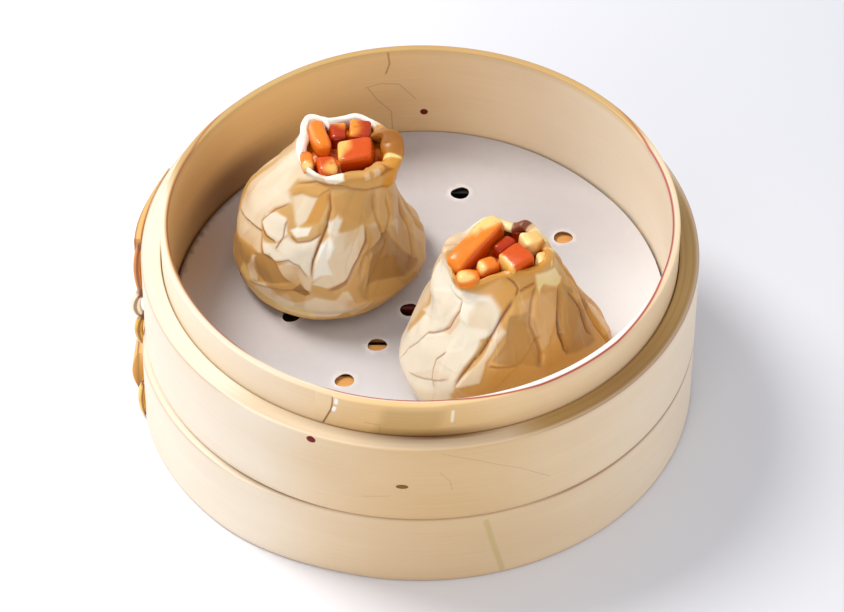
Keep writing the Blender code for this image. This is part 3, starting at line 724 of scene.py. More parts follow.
def slat_tree():
    """Laths laid at an even pitch across a round floor, each as long as the round allows."""
    tree = bpy.data.node_groups.new("slats", "GeometryNodeTree")
    sizes = (
        ("Count", "NodeSocketInt"),
        ("Pitch", "NodeSocketFloat"),
        ("Width", "NodeSocketFloat"),
        ("Height", "NodeSocketFloat"),
        ("Radius", "NodeSocketFloat"),
        ("Rounding", "NodeSocketFloat"),
        ("Middle", "NodeSocketVector"),
        ("Bamboo", "NodeSocketMaterial"),
    )
    for label, kind in sizes:
        tree.interface.new_socket(label, in_out="INPUT", socket_type=kind)
    tree.interface.new_socket("Laths", in_out="OUTPUT", socket_type="NodeSocketGeometry")

    def add(kind, settings=None, sockets=None):
        made = tree.nodes.new(kind)
        for key, value in (settings or {}).items():
            setattr(made, key, value)
        for key, value in (sockets or {}).items():
            if isinstance(value, bpy.types.NodeSocket):
                tree.links.new(value, made.inputs[key])
            else:
                made.inputs[key].default_value = value
        return made

    def maths(operation, first, second=0.0):
        return add("ShaderNodeMath", {"operation": operation}, {0: first, 1: second}).outputs[0]

    given = add("NodeGroupInput").outputs
    number = add("GeometryNodeInputIndex").outputs[0]
    from_middle = maths("SUBTRACT", number, maths("DIVIDE", maths("SUBTRACT", given["Count"], 1), 2))
    # Each lath strays a little from its pitch and differs a little in width.
    stray = maths("MULTIPLY", maths("SINE", maths("MULTIPLY", number, 4.1)), 0.01)
    place_y = maths("MULTIPLY", maths("ADD", from_middle, stray), given["Pitch"])
    width = maths("ADD", 1, maths("MULTIPLY", maths("SINE", maths("MULTIPLY", number, 2.7)), 0.07))
    reach = maths("ADD", maths("ABSOLUTE", place_y), maths("MULTIPLY", given["Width"], 0.53))
    chord = maths("SUBTRACT", maths("POWER", given["Radius"], 2), maths("POWER", reach, 2))
    length = maths("MULTIPLY", maths("SQRT", chord), 2)
    spot = add("ShaderNodeCombineXYZ", None, {"Y": place_y}).outputs[0]
    spot = add("ShaderNodeVectorMath", None, {0: spot, 1: given["Middle"]}).outputs[0]
    spots = add("GeometryNodePoints", None, {"Count": given["Count"], "Position": spot}).outputs[0]

    sides = {"Width": given["Width"], "Height": given["Height"]}
    square = add("GeometryNodeCurvePrimitiveQuadrilateral", None, sides)
    section = add(
        "GeometryNodeFilletCurve",
        {"mode": "POLY"},
        {"Curve": square.outputs[0], "Count": 4, "Radius": given["Rounding"], "Limit Radius": True},
    )
    line = add("GeometryNodeCurvePrimitiveLine", None, {"Start": (-0.5, 0, 0), "End": (0.5, 0, 0)})
    fine = add("GeometryNodeResampleCurve", None, {"Curve": line.outputs[0], "Count": 24})
    lath = add(
        "GeometryNodeCurveToMesh",
        None,
        {"Curve": fine.outputs[0], "Profile Curve": section.outputs[0], "Fill Caps": True},
    )
    scale = add("ShaderNodeCombineXYZ", None, {"X": length, "Y": width, "Z": 1.0}).outputs[0]
    laid = add(
        "GeometryNodeInstanceOnPoints",
        None,
        {"Points": spots, "Instance": lath.outputs[0], "Scale": scale},
    )
    real = add("GeometryNodeRealizeInstances", None, {0: laid.outputs[0]})
    painted = add("GeometryNodeSetMaterial", None, {0: real.outputs[0], "Material": given["Bamboo"]})
    out = add("NodeGroupOutput")
    tree.links.new(painted.outputs[0], out.inputs[0])
    return tree


slat_nodes = [f"slat_{number:02d}" for number in range(1, SLAT_COUNT + 1)]
slat_boxes = [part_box(node) for node in slat_nodes]
slat_low, slat_high = slat_boxes[0][0].z, slat_boxes[0][1].z
seed_mesh = bpy.data.meshes.new("slat_seed")
grower = bpy.data.objects.new("slat_grower", seed_mesh)
bpy.context.scene.collection.objects.link(grower)
laying = grower.modifiers.new("laying", "NODES")
laying.node_group = slat_tree()
sizes = {
    "Count": SLAT_COUNT,
    "Pitch": 11.3 * MM,
    "Width": 8.5 * MM,
    "Height": slat_high - slat_low,
    "Radius": 66.6 * MM,
    "Rounding": 0.5 * MM,
    "Middle": (AXIS.x, AXIS.y + 3.15 * MM, (slat_low + slat_high) / 2),
    "Bamboo": SLAT_BAMBOO.material,
}
for socket in laying.node_group.interface.items_tree:
    if socket.name in sizes:
        laying[socket.identifier] = sizes[socket.name]
bpy.context.view_layer.update()
laths = bpy.data.meshes.new_from_object(grower.evaluated_get(bpy.context.evaluated_depsgraph_get()))
bpy.data.objects.remove(grower)
laths.name = "laths"
laths.materials.clear()
shape = bmesh.new()
shape.from_mesh(laths)
bmesh.ops.remove_doubles(shape, verts=shape.verts, dist=0.001 * MM)
bmesh.ops.recalc_face_normals(shape, faces=shape.faces)
shape.to_mesh(laths)
shape.free()
laths.shade_smooth()
laths.set_sharp_from_angle(angle=math.radians(40))
place(laths, SLAT_BAMBOO, "bamboo_slat", *slat_nodes)

# ---------------------------------------------------------------- paper liner
# A round of white greaseproof paper, cut a little smaller than the wall and punched
# with steam holes. Damp has cockled it, and it curls up where it meets the wall.
PAPER_RADIUS = 66.5 * MM
PAPER_THICK = 0.3 * MM
PAPER_SHADED_AT = 166
HOLE_RADIUS = 2.5 * MM
paper_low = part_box("paper_liner")[0].z
hole_spots = []
# Each round of holes: its middle and its radius in mm, and the azimuths of its holes.
for middle, ring_radius, azimuths in (
    ((-2.9, -2.5), 0, (0,)),
    ((-2.9, -2.5), 16, (237.8, 297.8, 357.8, 57.8, 117.8, 177.8)),
    ((-2.9, -2.5), 32, (237.8, 297.8, 357.8, 57.8, 117.8, 184.5)),
    ((1.0, -5.0), 49, (78.2, 118.2, 158.2, 238.2, 275, 310, 345, 38.5)),
):
    for turn in np.radians(azimuths):
        spot = (middle[0] + ring_radius * math.cos(turn), middle[1] + ring_radius * math.sin(turn))
        hole_spots.append(spot)


def loop(middle, radius, count, waver=0.0, seed=0):
    """The points of a round cut, which wavers a little."""
    turns = np.linspace(0, 2 * math.pi, count, endpoint=False)
    reach = radius * (1 + waver * np.sin(2 * turns + seed) + 0.6 * waver * np.sin(3 * turns + 2.3 * seed))
    return np.stack([middle[0] + reach * np.cos(turns), middle[1] + reach * np.sin(turns)], axis=1)


draw = np.random.default_rng(5)
loops = [loop((0, 0), PAPER_RADIUS / MM, 300)]
loops += [loop(spot, HOLE_RADIUS / MM, 30, 0.07, k) for k, spot in enumerate(hole_spots)]
grid = np.arange(-66, 67, 1.35)
inner = np.stack(np.meshgrid(grid, grid), axis=-1).reshape(-1, 2)
inner = inner + draw.uniform(-0.3, 0.3, inner.shape)
hole_array = np.array(hole_spots)
clear = np.linalg.norm(inner[:, None] - hole_array[None], axis=2).min(axis=1) > HOLE_RADIUS / MM + 0.6
inner = inner[clear & (np.linalg.norm(inner, axis=1) < PAPER_RADIUS / MM - 0.7)]
flat, edges, first = [], [], 0
for ring_points in loops:
    flat += ring_points.tolist()
    count = len(ring_points)
    edges += [(first + k, first + (k + 1) % count) for k in range(count)]
    first += count
flat += inner.tolist()
made = delaunay_2d_cdt([Vector(point) for point in flat], edges, [], 0, 1e-6)
spots = np.array([tuple(point) for point in made[0]])
triangles = np.array([face for face in made[2]])
corners = np.linalg.norm(spots[triangles][:, :, None] - hole_array[None, None], axis=3)
in_hole = (corners < HOLE_RADIUS / MM * 1.13).all(axis=1).any(axis=1)
triangles = triangles[~in_hole]


def paper_height(spots):
    """How far the damp paper stands above where it would lie flat, in mm."""
    x, y = spots[:, 0], spots[:, 1]
    reach = np.hypot(x, y)
    azimuth = np.degrees(np.arctan2(y, x))
    spread = np.concatenate([spots, np.zeros((len(spots), 1))], axis=1)
    away = np.minimum(np.hypot(x + 24, y - 13.6) - 27, np.hypot(x - 24, y + 26) - 29)
    loose = ease(away, -2, 10)
    cockle = (ripple(spread, 24, 3) * 0.5 + 0.5) * 0.25 + (ripple(spread, 10, 4) * 0.5 + 0.5) * 0.12
    curl = ease(reach, 58, 66.5) ** 2 * (0.3 + 1.6 * hill(turned(azimuth - 90), 0, 36))
    curl += ease(reach, 60, 66.5) ** 2 * 0.4 * (0.5 + 0.5 * np.sin(np.radians(azimuth * 7)))
    rims = np.linalg.norm(spots[:, None] - hole_array[None], axis=2).min(axis=1)
    burr = 0.28 * hill(rims, HOLE_RADIUS / MM, 0.7)
    return loose * (cockle + curl) + burr


rise = paper_height(spots)
face_up = np.stack([spots[:, 0], spots[:, 1], rise], axis=1) * MM + np.array([AXIS.x, AXIS.y, paper_low])
face_down = face_up.copy()
face_up[:, 2] += PAPER_THICK
ahead = triangles[:, [0, 1, 2]]
sides = {}
for a, b, c in ahead.tolist():
    for edge in ((a, b), (b, c), (c, a)):
        sides[edge] = True
rim = [edge for edge in sides if (edge[1], edge[0]) not in sides]
count = len(spots)
faces = ahead.tolist() + (ahead[:, ::-1] + count).tolist()
faces += [(b, a, a + count, b + count) for a, b in rim]
paper = bpy.data.meshes.new("paper_round")
paper.from_pydata(np.concatenate([face_up, face_down]).tolist(), [], faces)
shape = bmesh.new()
shape.from_mesh(paper)
bmesh.ops.delete(shape, geom=[v for v in shape.verts if not v.link_faces], context="VERTS")
bmesh.ops.recalc_face_normals(shape, faces=shape.faces)
shape.to_mesh(paper)
shape.free()
paper.shade_smooth()
paper.set_sharp_from_angle(angle=math.radians(60))
where = np.zeros(len(paper.vertices) * 3)
paper.vertices.foreach_get("co", where)
x, y = where.reshape(-1, 3)[:, 0] / MM, where.reshape(-1, 3)[:, 1] / MM
x -= AXIS.x / MM
# Painted light at the front and the right; on the left a soak stain with painted shade, and a painted shadow
# along the edge.
painted_light = np.maximum(hill(np.hypot(x + 8, y + 62), 0, 32), 0.8 * hill(np.hypot(x - 66, y + 6), 0, 26))
from_left = turned(np.degrees(np.arctan2(y, x)) - PAPER_SHADED_AT)
soaked_and_shade = 0.85 * hill(from_left, 0, 19) * ease(np.hypot(x, y), 50, 66)
edge_shadow = ease(np.hypot(x, y), 65.2, 66.3) * hill(from_left, 0, 40)
from_hole = np.hypot(x[:, None] - hole_array[:, 0], y[:, None] - hole_array[:, 1]).min(axis=1)
burred = hill(from_hole, HOLE_RADIUS / MM + 0.2, 0.55)
for key, values in (("painted_light", painted_light), ("soaked_and_shade", soaked_and_shade), ("edge_shadow", edge_shadow), ("burred", burred)):
    paper.attributes.new(key, "FLOAT", "POINT").data.foreach_set("value", values)
PAPER = Finish("paper", IOR=1.4, Coat_Weight=0.1, Coat_Roughness=0.5)
paper_places = PAPER.node("ShaderNodeTexCoord", output="Object")
paper_pulp = PAPER.noise(paper_places, (420, 420, 420), 5)
paper_damp = PAPER.noise(paper_places, (38, 38, 38))
paper_tone = (paper_damp * 0.8 + paper_pulp * 0.3 - 0.05).within(0.1, 0.9)
paper_colour = PAPER.mix(paper_tone, tint(196, 191, 192), tint(208, 204, 205))
# Painted light, then the soak stain with painted shade, the burrs, and the painted edge shadow.
paper_colour = PAPER.mix(PAPER.mark("painted_light"), paper_colour, tint(242, 244, 248))
paper_colour = PAPER.mix(PAPER.mark("soaked_and_shade"), paper_colour, tint(208, 174, 136))
paper_colour = PAPER.mix(PAPER.mark("burred") * 0.6, paper_colour, tint(248, 246, 245))
paper_colour = PAPER.mix(PAPER.mark("edge_shadow"), paper_colour, tint(96, 52, 18))
PAPER.wear(paper_colour, paper_pulp * 0.2 + 0.5, paper_pulp, 0.03 * MM)
place(paper, PAPER, "paper", "paper_liner")

# ------------------------------------------------------------------- wrappers
# Two cups of thin wheat dough, gathered in pleats round the filling and left open
# at the top. Steaming turns the dough glossy, pale where it is dry and gold where
# the filling shows through, the gold partly painted shade. Over that lie painted shade
# in brown and deep red-brown patches, in the creases and round the foot, and white painted highlights.
DOUGH_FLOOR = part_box("wrapper_left")[0].z
DOUGH_THICK = 1.2
DOUGH_AROUND = 480
DOUGH_UP = 150
LIP_STEPS = 14
LIP_ROUNDING = 0.6
INSIDE_STEPS = 10
FACET_COUNT = 120
FACET_STRETCH = 1.9
FOLD_REACH = 9


def smooth_curve(at, stops, values):
    """A smooth curve through the values at the stops."""
    slopes = np.gradient(values, stops)
    k = np.clip(np.searchsorted(stops, at) - 1, 0, len(stops) - 2)
    gap = stops[k + 1] - stops[k]
    t = np.clip((at - stops[k]) / gap, 0, 1)
    return (
        (2 * t**3 - 3 * t**2 + 1) * values[k]
        + (t**3 - 2 * t**2 + t) * gap * slopes[k]
        + (3 * t**2 - 2 * t**3) * values[k + 1]
        + (t**3 - t**2) * gap * slopes[k + 1]
    )


class Dough:
    """The outside of one cup, by azimuth in degrees and height above its foot in mm."""

    def __init__(self, levels, edge, seed):
        self.levels = np.array(levels, float)
        first = np.array(sorted(edge), float)
        turn = np.array([360, 0, 0, 0])
        self.edge = np.concatenate([first[-3:] - turn, first, first[:3] + turn])
        self.seed = seed
        self.folds = []
        self.patches = []

    def across(self, height, column):
        """A half width, in column 1 or 2, or a middle, in 3 or 4, in mm."""
        return smooth_curve(np.clip(height, 0, self.levels[-1, 0]), self.levels[:, 0], self.levels[:, column])

    def rim(self, azimuth, column):
        """The edge of the cup: column 1 is its push outwards, 2 its stand and 3 its thickness, in mm."""
        return smooth_curve(azimuth % 360, self.edge[:, 0], self.edge[:, column])

    def girth(self, height):
        """The mean of the two half widths, in mm."""
        return (self.across(height, 1) + self.across(height, 2)) / 2

    def from_line(self, azimuth, height, line):
        """How far a point is from a fold line, in mm, positive on the line's left, and its share along it."""
        girth = self.girth(height)
        nearest = np.full(np.broadcast(azimuth, height).shape, 1e9)
        signed, share = nearest.copy(), np.zeros_like(nearest)
        for k, ((a0, h0), (a1, h1)) in enumerate(zip(line, line[1:])):
            x = np.radians(turned(azimuth - a0)) * girth
            y = height - h0
            run, rise = np.radians(turned(a1 - a0)) * girth, h1 - h0
            t = np.clip((x * run + y * rise) / (run * run + rise * rise + 1e-9), 0, 1)
            away = np.hypot(x - t * run, y - t * rise)
            side = np.sign(run * y - rise * x)
            closer = away < nearest
            nearest = np.where(closer, away, nearest)
            signed = np.where(closer, away * side, signed)
            share = np.where(closer, (k + t) / (len(line) - 1), share)
        return signed, share

    def inside(self, azimuth, height, outline, soft):
        """1 inside an outline on the dough, 0 outside it, with an edge that is soft mm wide."""
        closed = [outline[0]]
        for a, h in (*outline[1:], outline[0]):
            closed.append((closed[-1][0] + turned(a - closed[-1][0]), h))
        middle = (max(a for a, h in closed) + min(a for a, h in closed)) / 2
        x, y = turned(azimuth - middle) + 0 * height, height + 0 * azimuth
        crossings = np.zeros(x.shape, bool)
        for (a0, h0), (a1, h1) in zip(closed, closed[1:]):
            x0, x1 = a0 - middle, a1 - middle
            if h0 != h1:
                meets = (x1 - x0) * (y - h0) / (h1 - h0) + x0
                crossings ^= ((h0 > y) != (h1 > y)) & (x < meets)
        away = np.abs(self.from_line(azimuth, height, closed)[0])
        return ease(np.where(crossings, away, -away), -soft / 2, soft / 2)

    def facets(self, azimuth, height):
        """Flat facets of crumpled dough: each one's own tone, from 0 to 1."""
        draw = np.random.default_rng(self.seed)
        girth = self.girth(height)
        first = np.full(np.broadcast(azimuth, height).shape, 1e9)
        second, own, other = first.copy(), np.zeros_like(first), np.zeros_like(first)
        for _ in range(FACET_COUNT):
            a, h, tone = draw.uniform(0, 360), draw.uniform(0, 44), draw.uniform()
            away = np.hypot(np.radians(turned(azimuth - a)) * girth, (height - h) / FACET_STRETCH)
            nearer, next_nearer = away < first, (away >= first) & (away < second)
            second = np.where(nearer, first, np.where(next_nearer, away, second))
            other = np.where(nearer, own, np.where(next_nearer, tone, other))
            first = np.where(nearer, away, first)
            own = np.where(nearer, tone, own)
        share = 0.5 + 0.5 * ease(second - first, 0, 1.0)
        return own * share + other * (1 - share)

    def shape(self, azimuth, height):
        """How far the dough stands out from its smooth cup, in mm, its painted crease shade and its facets'
        tones.
        """
        rise = height / self.levels[-1, 0]
        out = np.zeros(np.broadcast(azimuth, height).shape)
        crease_shade = out.copy()
        for depth, width, ridge, spread, painted_shade, line in self.folds:
            away, share = self.from_line(azimuth, height, line)
            fade = ease(share, 0, 0.12) * (1 - ease(share, 0.88, 1)) * (np.abs(away) < FOLD_REACH)
            groove = hill(away, 0, width)
            step = (0.5 + 0.5 * np.tanh(away / (0.5 * width))) * np.exp(-np.abs(away) / spread)
            out += fade * (ridge * step - depth * groove)
            crease_shade = np.maximum(crease_shade, fade * painted_shade * hill(away, -0.15 * width, 0.24))
        for _, _, soft, push, outline in self.patches:
            if push:
                out += push * self.inside(azimuth, height, outline, soft)
        tone = self.facets(azimuth, height)
        belly = ease(rise, 0.02, 0.2) * (1 - ease(rise, 0.8, 0.95))
        out += belly * (tone - 0.5) * 0.3
        angle, girth = np.radians(azimuth), self.girth(height)
        places = np.stack([girth * np.cos(angle), girth * np.sin(angle), height + 0 * angle], axis=-1)
        out += belly * 0.35 * ripple(places, 9, self.seed + 1) + 0.12 * ripple(places, 3.5, self.seed + 2)
        out += self.rim(azimuth, 1) * ease(rise, 0.72, 1.0) ** 2
        # Painted shadow round the foot, where the cup meets the paper.
        crease_shade = np.maximum(crease_shade, 0.9 * (1 - ease(height, 1.4, 4.0)))
        return out, crease_shade, tone

    def point(self, azimuth, height, inset, out):
        """A point of the cup in metres, inset mm inside its outside."""
        angle = np.radians(azimuth)
        stand = self.rim(azimuth, 2) * ease(height, 0.75 * self.levels[-1, 0], self.levels[-1, 0])
        x = self.across(height, 3) + (self.across(height, 1) + out - inset) * np.cos(angle)
        y = self.across(height, 4) + (self.across(height, 2) + out - inset) * np.sin(angle)
        z = height + stand + 0 * angle
        return np.stack([x * MM + AXIS.x, y * MM + AXIS.y, z * MM + DOUGH_FLOOR], axis=-1)

    def cup(self, name, node):
        """The whole cup as a closed mesh: foot, outside, rolled lip and inside."""
        high = self.levels[-1, 0]
        shoulder = high - LIP_ROUNDING
        azimuth = (np.arange(DOUGH_AROUND) * 360 / DOUGH_AROUND)[None, :]
        height = shoulder * np.linspace(0, 1, DOUGH_UP)[:, None] ** 1.12
        out, crease_shade, tone = self.shape(azimuth, height)
        out = out * ease(height, 0.2, 3)
        outside = self.point(azimuth, height, 0, out)
        foot = outside[0].mean(axis=0)
        floor = [foot + (outside[0] - foot) * share for share in (0, 0.3, 0.6, 0.85)]

        turn = np.linspace(0, math.pi, LIP_STEPS + 2)[1:-1][:, None]
        rim_out = self.shape(azimuth, np.array([[shoulder]]))[0]
        thick = self.rim(azimuth, 3)
        crest = np.minimum(LIP_ROUNDING + 0.2 * (thick - DOUGH_THICK), 1.4)
        around = np.concatenate([0 * azimuth, azimuth / 9, 0 * azimuth]).T[None]
        lump = 0.22 * ripple(around + turn[..., None], 1.6, self.seed)
        over = shoulder + (crest + lump) * np.sin(turn)
        lip = self.point(azimuth, over, thick / 2 * (1 - np.cos(turn)), rim_out)

        near_lip = np.linspace(0, 4.5, INSIDE_STEPS)
        to_foot = np.linspace(6, shoulder - 1.6, INSIDE_STEPS)
        depth = np.concatenate([near_lip, to_foot])[:, None]
        down = shoulder - depth
        inner_out = self.shape(azimuth, down)[0]
        inset = DOUGH_THICK + (thick - DOUGH_THICK) * (1 - ease(depth, 0.2, 3.6))
        inside = self.point(azimuth, down, inset, inner_out * ease(down, 2, 8))
        base = inside[-1].mean(axis=0)
        sole = [base + (inside[-1] - base) * share for share in (0.6, 0)]
        points = np.concatenate([floor, outside, lip, inside, sole])

        # The chart goes on past the edge, over the lip and down the inside, so that patches can reach there.
        lip_chart = high + 2 * turn / math.pi + 0 * azimuth
        lip_crease_shade, lip_tone = self.shape(azimuth, lip_chart)[1:3]
        inside_chart = high + 2 + depth + 0 * azimuth
        chart = np.concatenate([height + 0 * azimuth, lip_chart, inside_chart])
        rows = {
            "crease_shade": np.concatenate([crease_shade, 0.6 * lip_crease_shade, 0 * inside_chart]),
            "facet": np.concatenate([tone, lip_tone, 0 * inside_chart + 0.5]),
        }
        for kind, strength, soft, push, outline in self.patches:
            amount = rows.get(kind, np.zeros(chart.shape))
            rows[kind] = amount + (strength - amount) * self.inside(azimuth, chart, outline, soft)
        marks = {}
        for key, values in rows.items():
            first = np.repeat(values[:1], len(floor), axis=0)
            last = np.repeat(values[-1:], len(sole), axis=0)
            marks[key] = np.concatenate([first, values, last])
        return place(skin(name, points, (False, True), None, marks, 75, True), DOUGH, "dough", node)


DOUGH = Finish(
    "dough", Subsurface_Weight=0.22, Subsurface_Scale=1 * MM, Coat_Weight=0.32, Coat_Roughness=0.25, IOR=1.4
)
DOUGH.shader.inputs["Subsurface Radius"].default_value = (2.4, 1.3, 0.7)
dough_places = DOUGH.node("ShaderNodeTexCoord", output="Object")
dough_cloud = DOUGH.noise(dough_places, (160, 160, 120), 3)
dough_grain = DOUGH.noise(dough_places, (1400, 1400, 1400), 3)
dough_facet = DOUGH.mark("facet")
dough_pale = DOUGH.mark("pale") + (dough_facet - 0.5) * 0.35 + (dough_cloud - 0.5) * 0.4
dough_colour = DOUGH.mix(dough_pale.within(0, 1), tint(206, 163, 98), tint(236, 220, 194))
# Gold where the filling shows through, and in part painted shade on the side away from the light.
dough_colour = DOUGH.mix(DOUGH.mark("gold"), dough_colour, tint(208, 144, 42))
# Painted shade: the brown patches darken the dough's shaded planes and the foot.
dough_shade = DOUGH.mark("brown") + (dough_facet - 0.6) * 0.25
dough_colour = DOUGH.mix(dough_shade.within(0, 1), dough_colour, tint(152, 110, 56))
dough_colour = DOUGH.mix(DOUGH.mark("yellow"), dough_colour, tint(248, 226, 148))
# Painted highlights: white patches of sheen and glints.
dough_colour = DOUGH.mix(DOUGH.mark("painted_highlight"), dough_colour, tint(252, 249, 238))
# Painted shade: deep red-brown on the darkest fold planes.
dough_colour = DOUGH.mix(DOUGH.mark("deep_shade"), dough_colour, tint(118, 40, 0))
# Painted shade in the creases of the folds and a painted shadow round the foot.
dough_colour = DOUGH.mix(DOUGH.mark("crease_shade"), dough_colour, tint(140, 74, 24))
DOUGH.wear(dough_colour, dough_grain * 0.15 + 0.36, dough_grain, 0.02 * MM)

# The rows of a cup: height, half width from left to right and from front to back, and middle, in mm.
# The rows of its edge: azimuth, push outwards, stand above the last row and thickness.
left_dough = Dough(
    [
        (0.0, 15.0, 15.0, -24.0, 13.6),
        (1.2, 19.5, 20.4, -25.4, 14.1),
        (6.0, 25.9, 24.8, -24.8, 14.6),
        (13.0, 24.1, 24.7, -25.4, 13.5),
        (21.0, 22.0, 22.9, -27.1, 13.7),
        (28.5, 19.0, 19.5, -25.9, 13.5),
        (35.0, 15.2, 15.9, -23.4, 13.9),
        (38.5, 13.6, 13.2, -21.6, 15.0),
        (41.0, 12.6, 11.8, -19.9, 15.7),
        (43.0, 13.0, 11.8, -20.0, 16.0),
    ],
    edge=[
        (4, 1.0, 1.0, 6.2),
        (13, 0.8, 2.6, 5.2),
        (24, -0.1, 1.8, 5.6),
        (45, 0.5, 0.3, 3.2),
        (63, 1.1, 0.0, 1.7),
        (80, 1.8, 0.2, 2.0),
        (94, 0.9, -0.2, 1.8),
        (106, 0.4, -0.3, 2.2),
        (112, 0.6, -0.3, 3.2),
        (119, 2.0, -0.2, 6.0),
        (127, 3.5, 0.4, 2.4),
        (140, 2.8, 0.4, 2.2),
        (156, 0.9, 0.2, 2.7),
        (180, 0.5, 0.0, 2.6),
        (205, 0.8, -0.2, 1.9),
        (225, 1.0, -0.4, 1.6),
        (245, 0.8, -0.6, 1.3),
        (262, 0.3, -0.3, 2.6),
        (290, 0.3, 0.0, 3.0),
        (310, 0.6, 0.0, 3.4),
        (335, 1.6, 0.3, 5.0),
    ],
    seed=11,
)
# Each fold's groove depth and width, the height and spread of its ridge, how dark its painted crease shade
# is, and its line.
left_dough.folds = [
    (0.35, 0.3, 0.55, 5.0, 0.9, [
        (174, 21), (202, 25), (218, 26), (228, 21.5), (238, 21), (242, 18.5), (248, 16),
    ]),
    (0.2, 0.25, 0.3, 3.0, 0.6, [(238, 21), (248, 23), (256, 22), (263, 19)]),
    (0.2, 0.25, 0.3, 2.5, 0.8, [(225, 35), (216, 32), (213, 28), (224, 26), (234, 26)]),
    (0.2, 0.25, 0.2, 2.5, 0.9, [(232, 32), (238, 28), (236, 24)]),
    (0.2, 0.25, 0.2, 2.5, 0.7, [(242, 29), (250, 28), (260, 29), (268, 31)]),
    (0.9, 0.5, 1.0, 6.0, 1.0, [(256, 40), (267, 36), (270, 32), (268, 28), (266, 24), (265, 18)]),
    (0.5, 0.4, 0.8, 5.0, 0.7, [(306, 31), (306, 26), (298, 22), (286, 17), (280, 16), (272, 15)]),
    (0.6, 0.6, 0.9, 5.0, 0.35, [(336, 35), (336, 28), (326, 25), (304, 23), (295, 16)]),
    (0.6, 0.6, 0.9, 5.0, 0.35, [(0, 28), (358, 17.5), (345, 13), (327, 10)]),
    (0.5, 0.5, 0.8, 4.0, 0.3, [(314, 37.5), (318, 31.5), (324, 24), (315, 19.5)]),
    (0.4, 0.5, 0.6, 3.0, 0.5, [(214, 38), (236, 41), (270, 40.5), (316, 38), (346, 36)]),
    (0.2, 0.3, 0.3, 3.0, 0.5, [(213, 7.5), (230, 11), (248, 14), (262, 15)]),
    (1.1, 1.0, 0.9, 4.5, 0.4, [(28, 40), (24, 30), (18, 18), (10, 7)]),
    (1.2, 1.1, 1.0, 5.0, 0.4, [(55, 40), (50, 31), (46, 20), (38, 7)]),
    (1.0, 1.0, 0.9, 4.5, 0.4, [(78, 41), (76, 30), (69, 18), (66, 7)]),
    (1.2, 1.0, 1.0, 5.0, 0.4, [(104, 41), (100, 31), (97, 18), (90, 8)]),
    (0.9, 1.0, 0.8, 4.5, 0.4, [(128, 40), (126, 29), (124, 17), (117, 8)]),
    (0.8, 1.0, 0.8, 4.5, 0.4, [(154, 39), (150, 29), (150, 18), (146, 9)]),
]
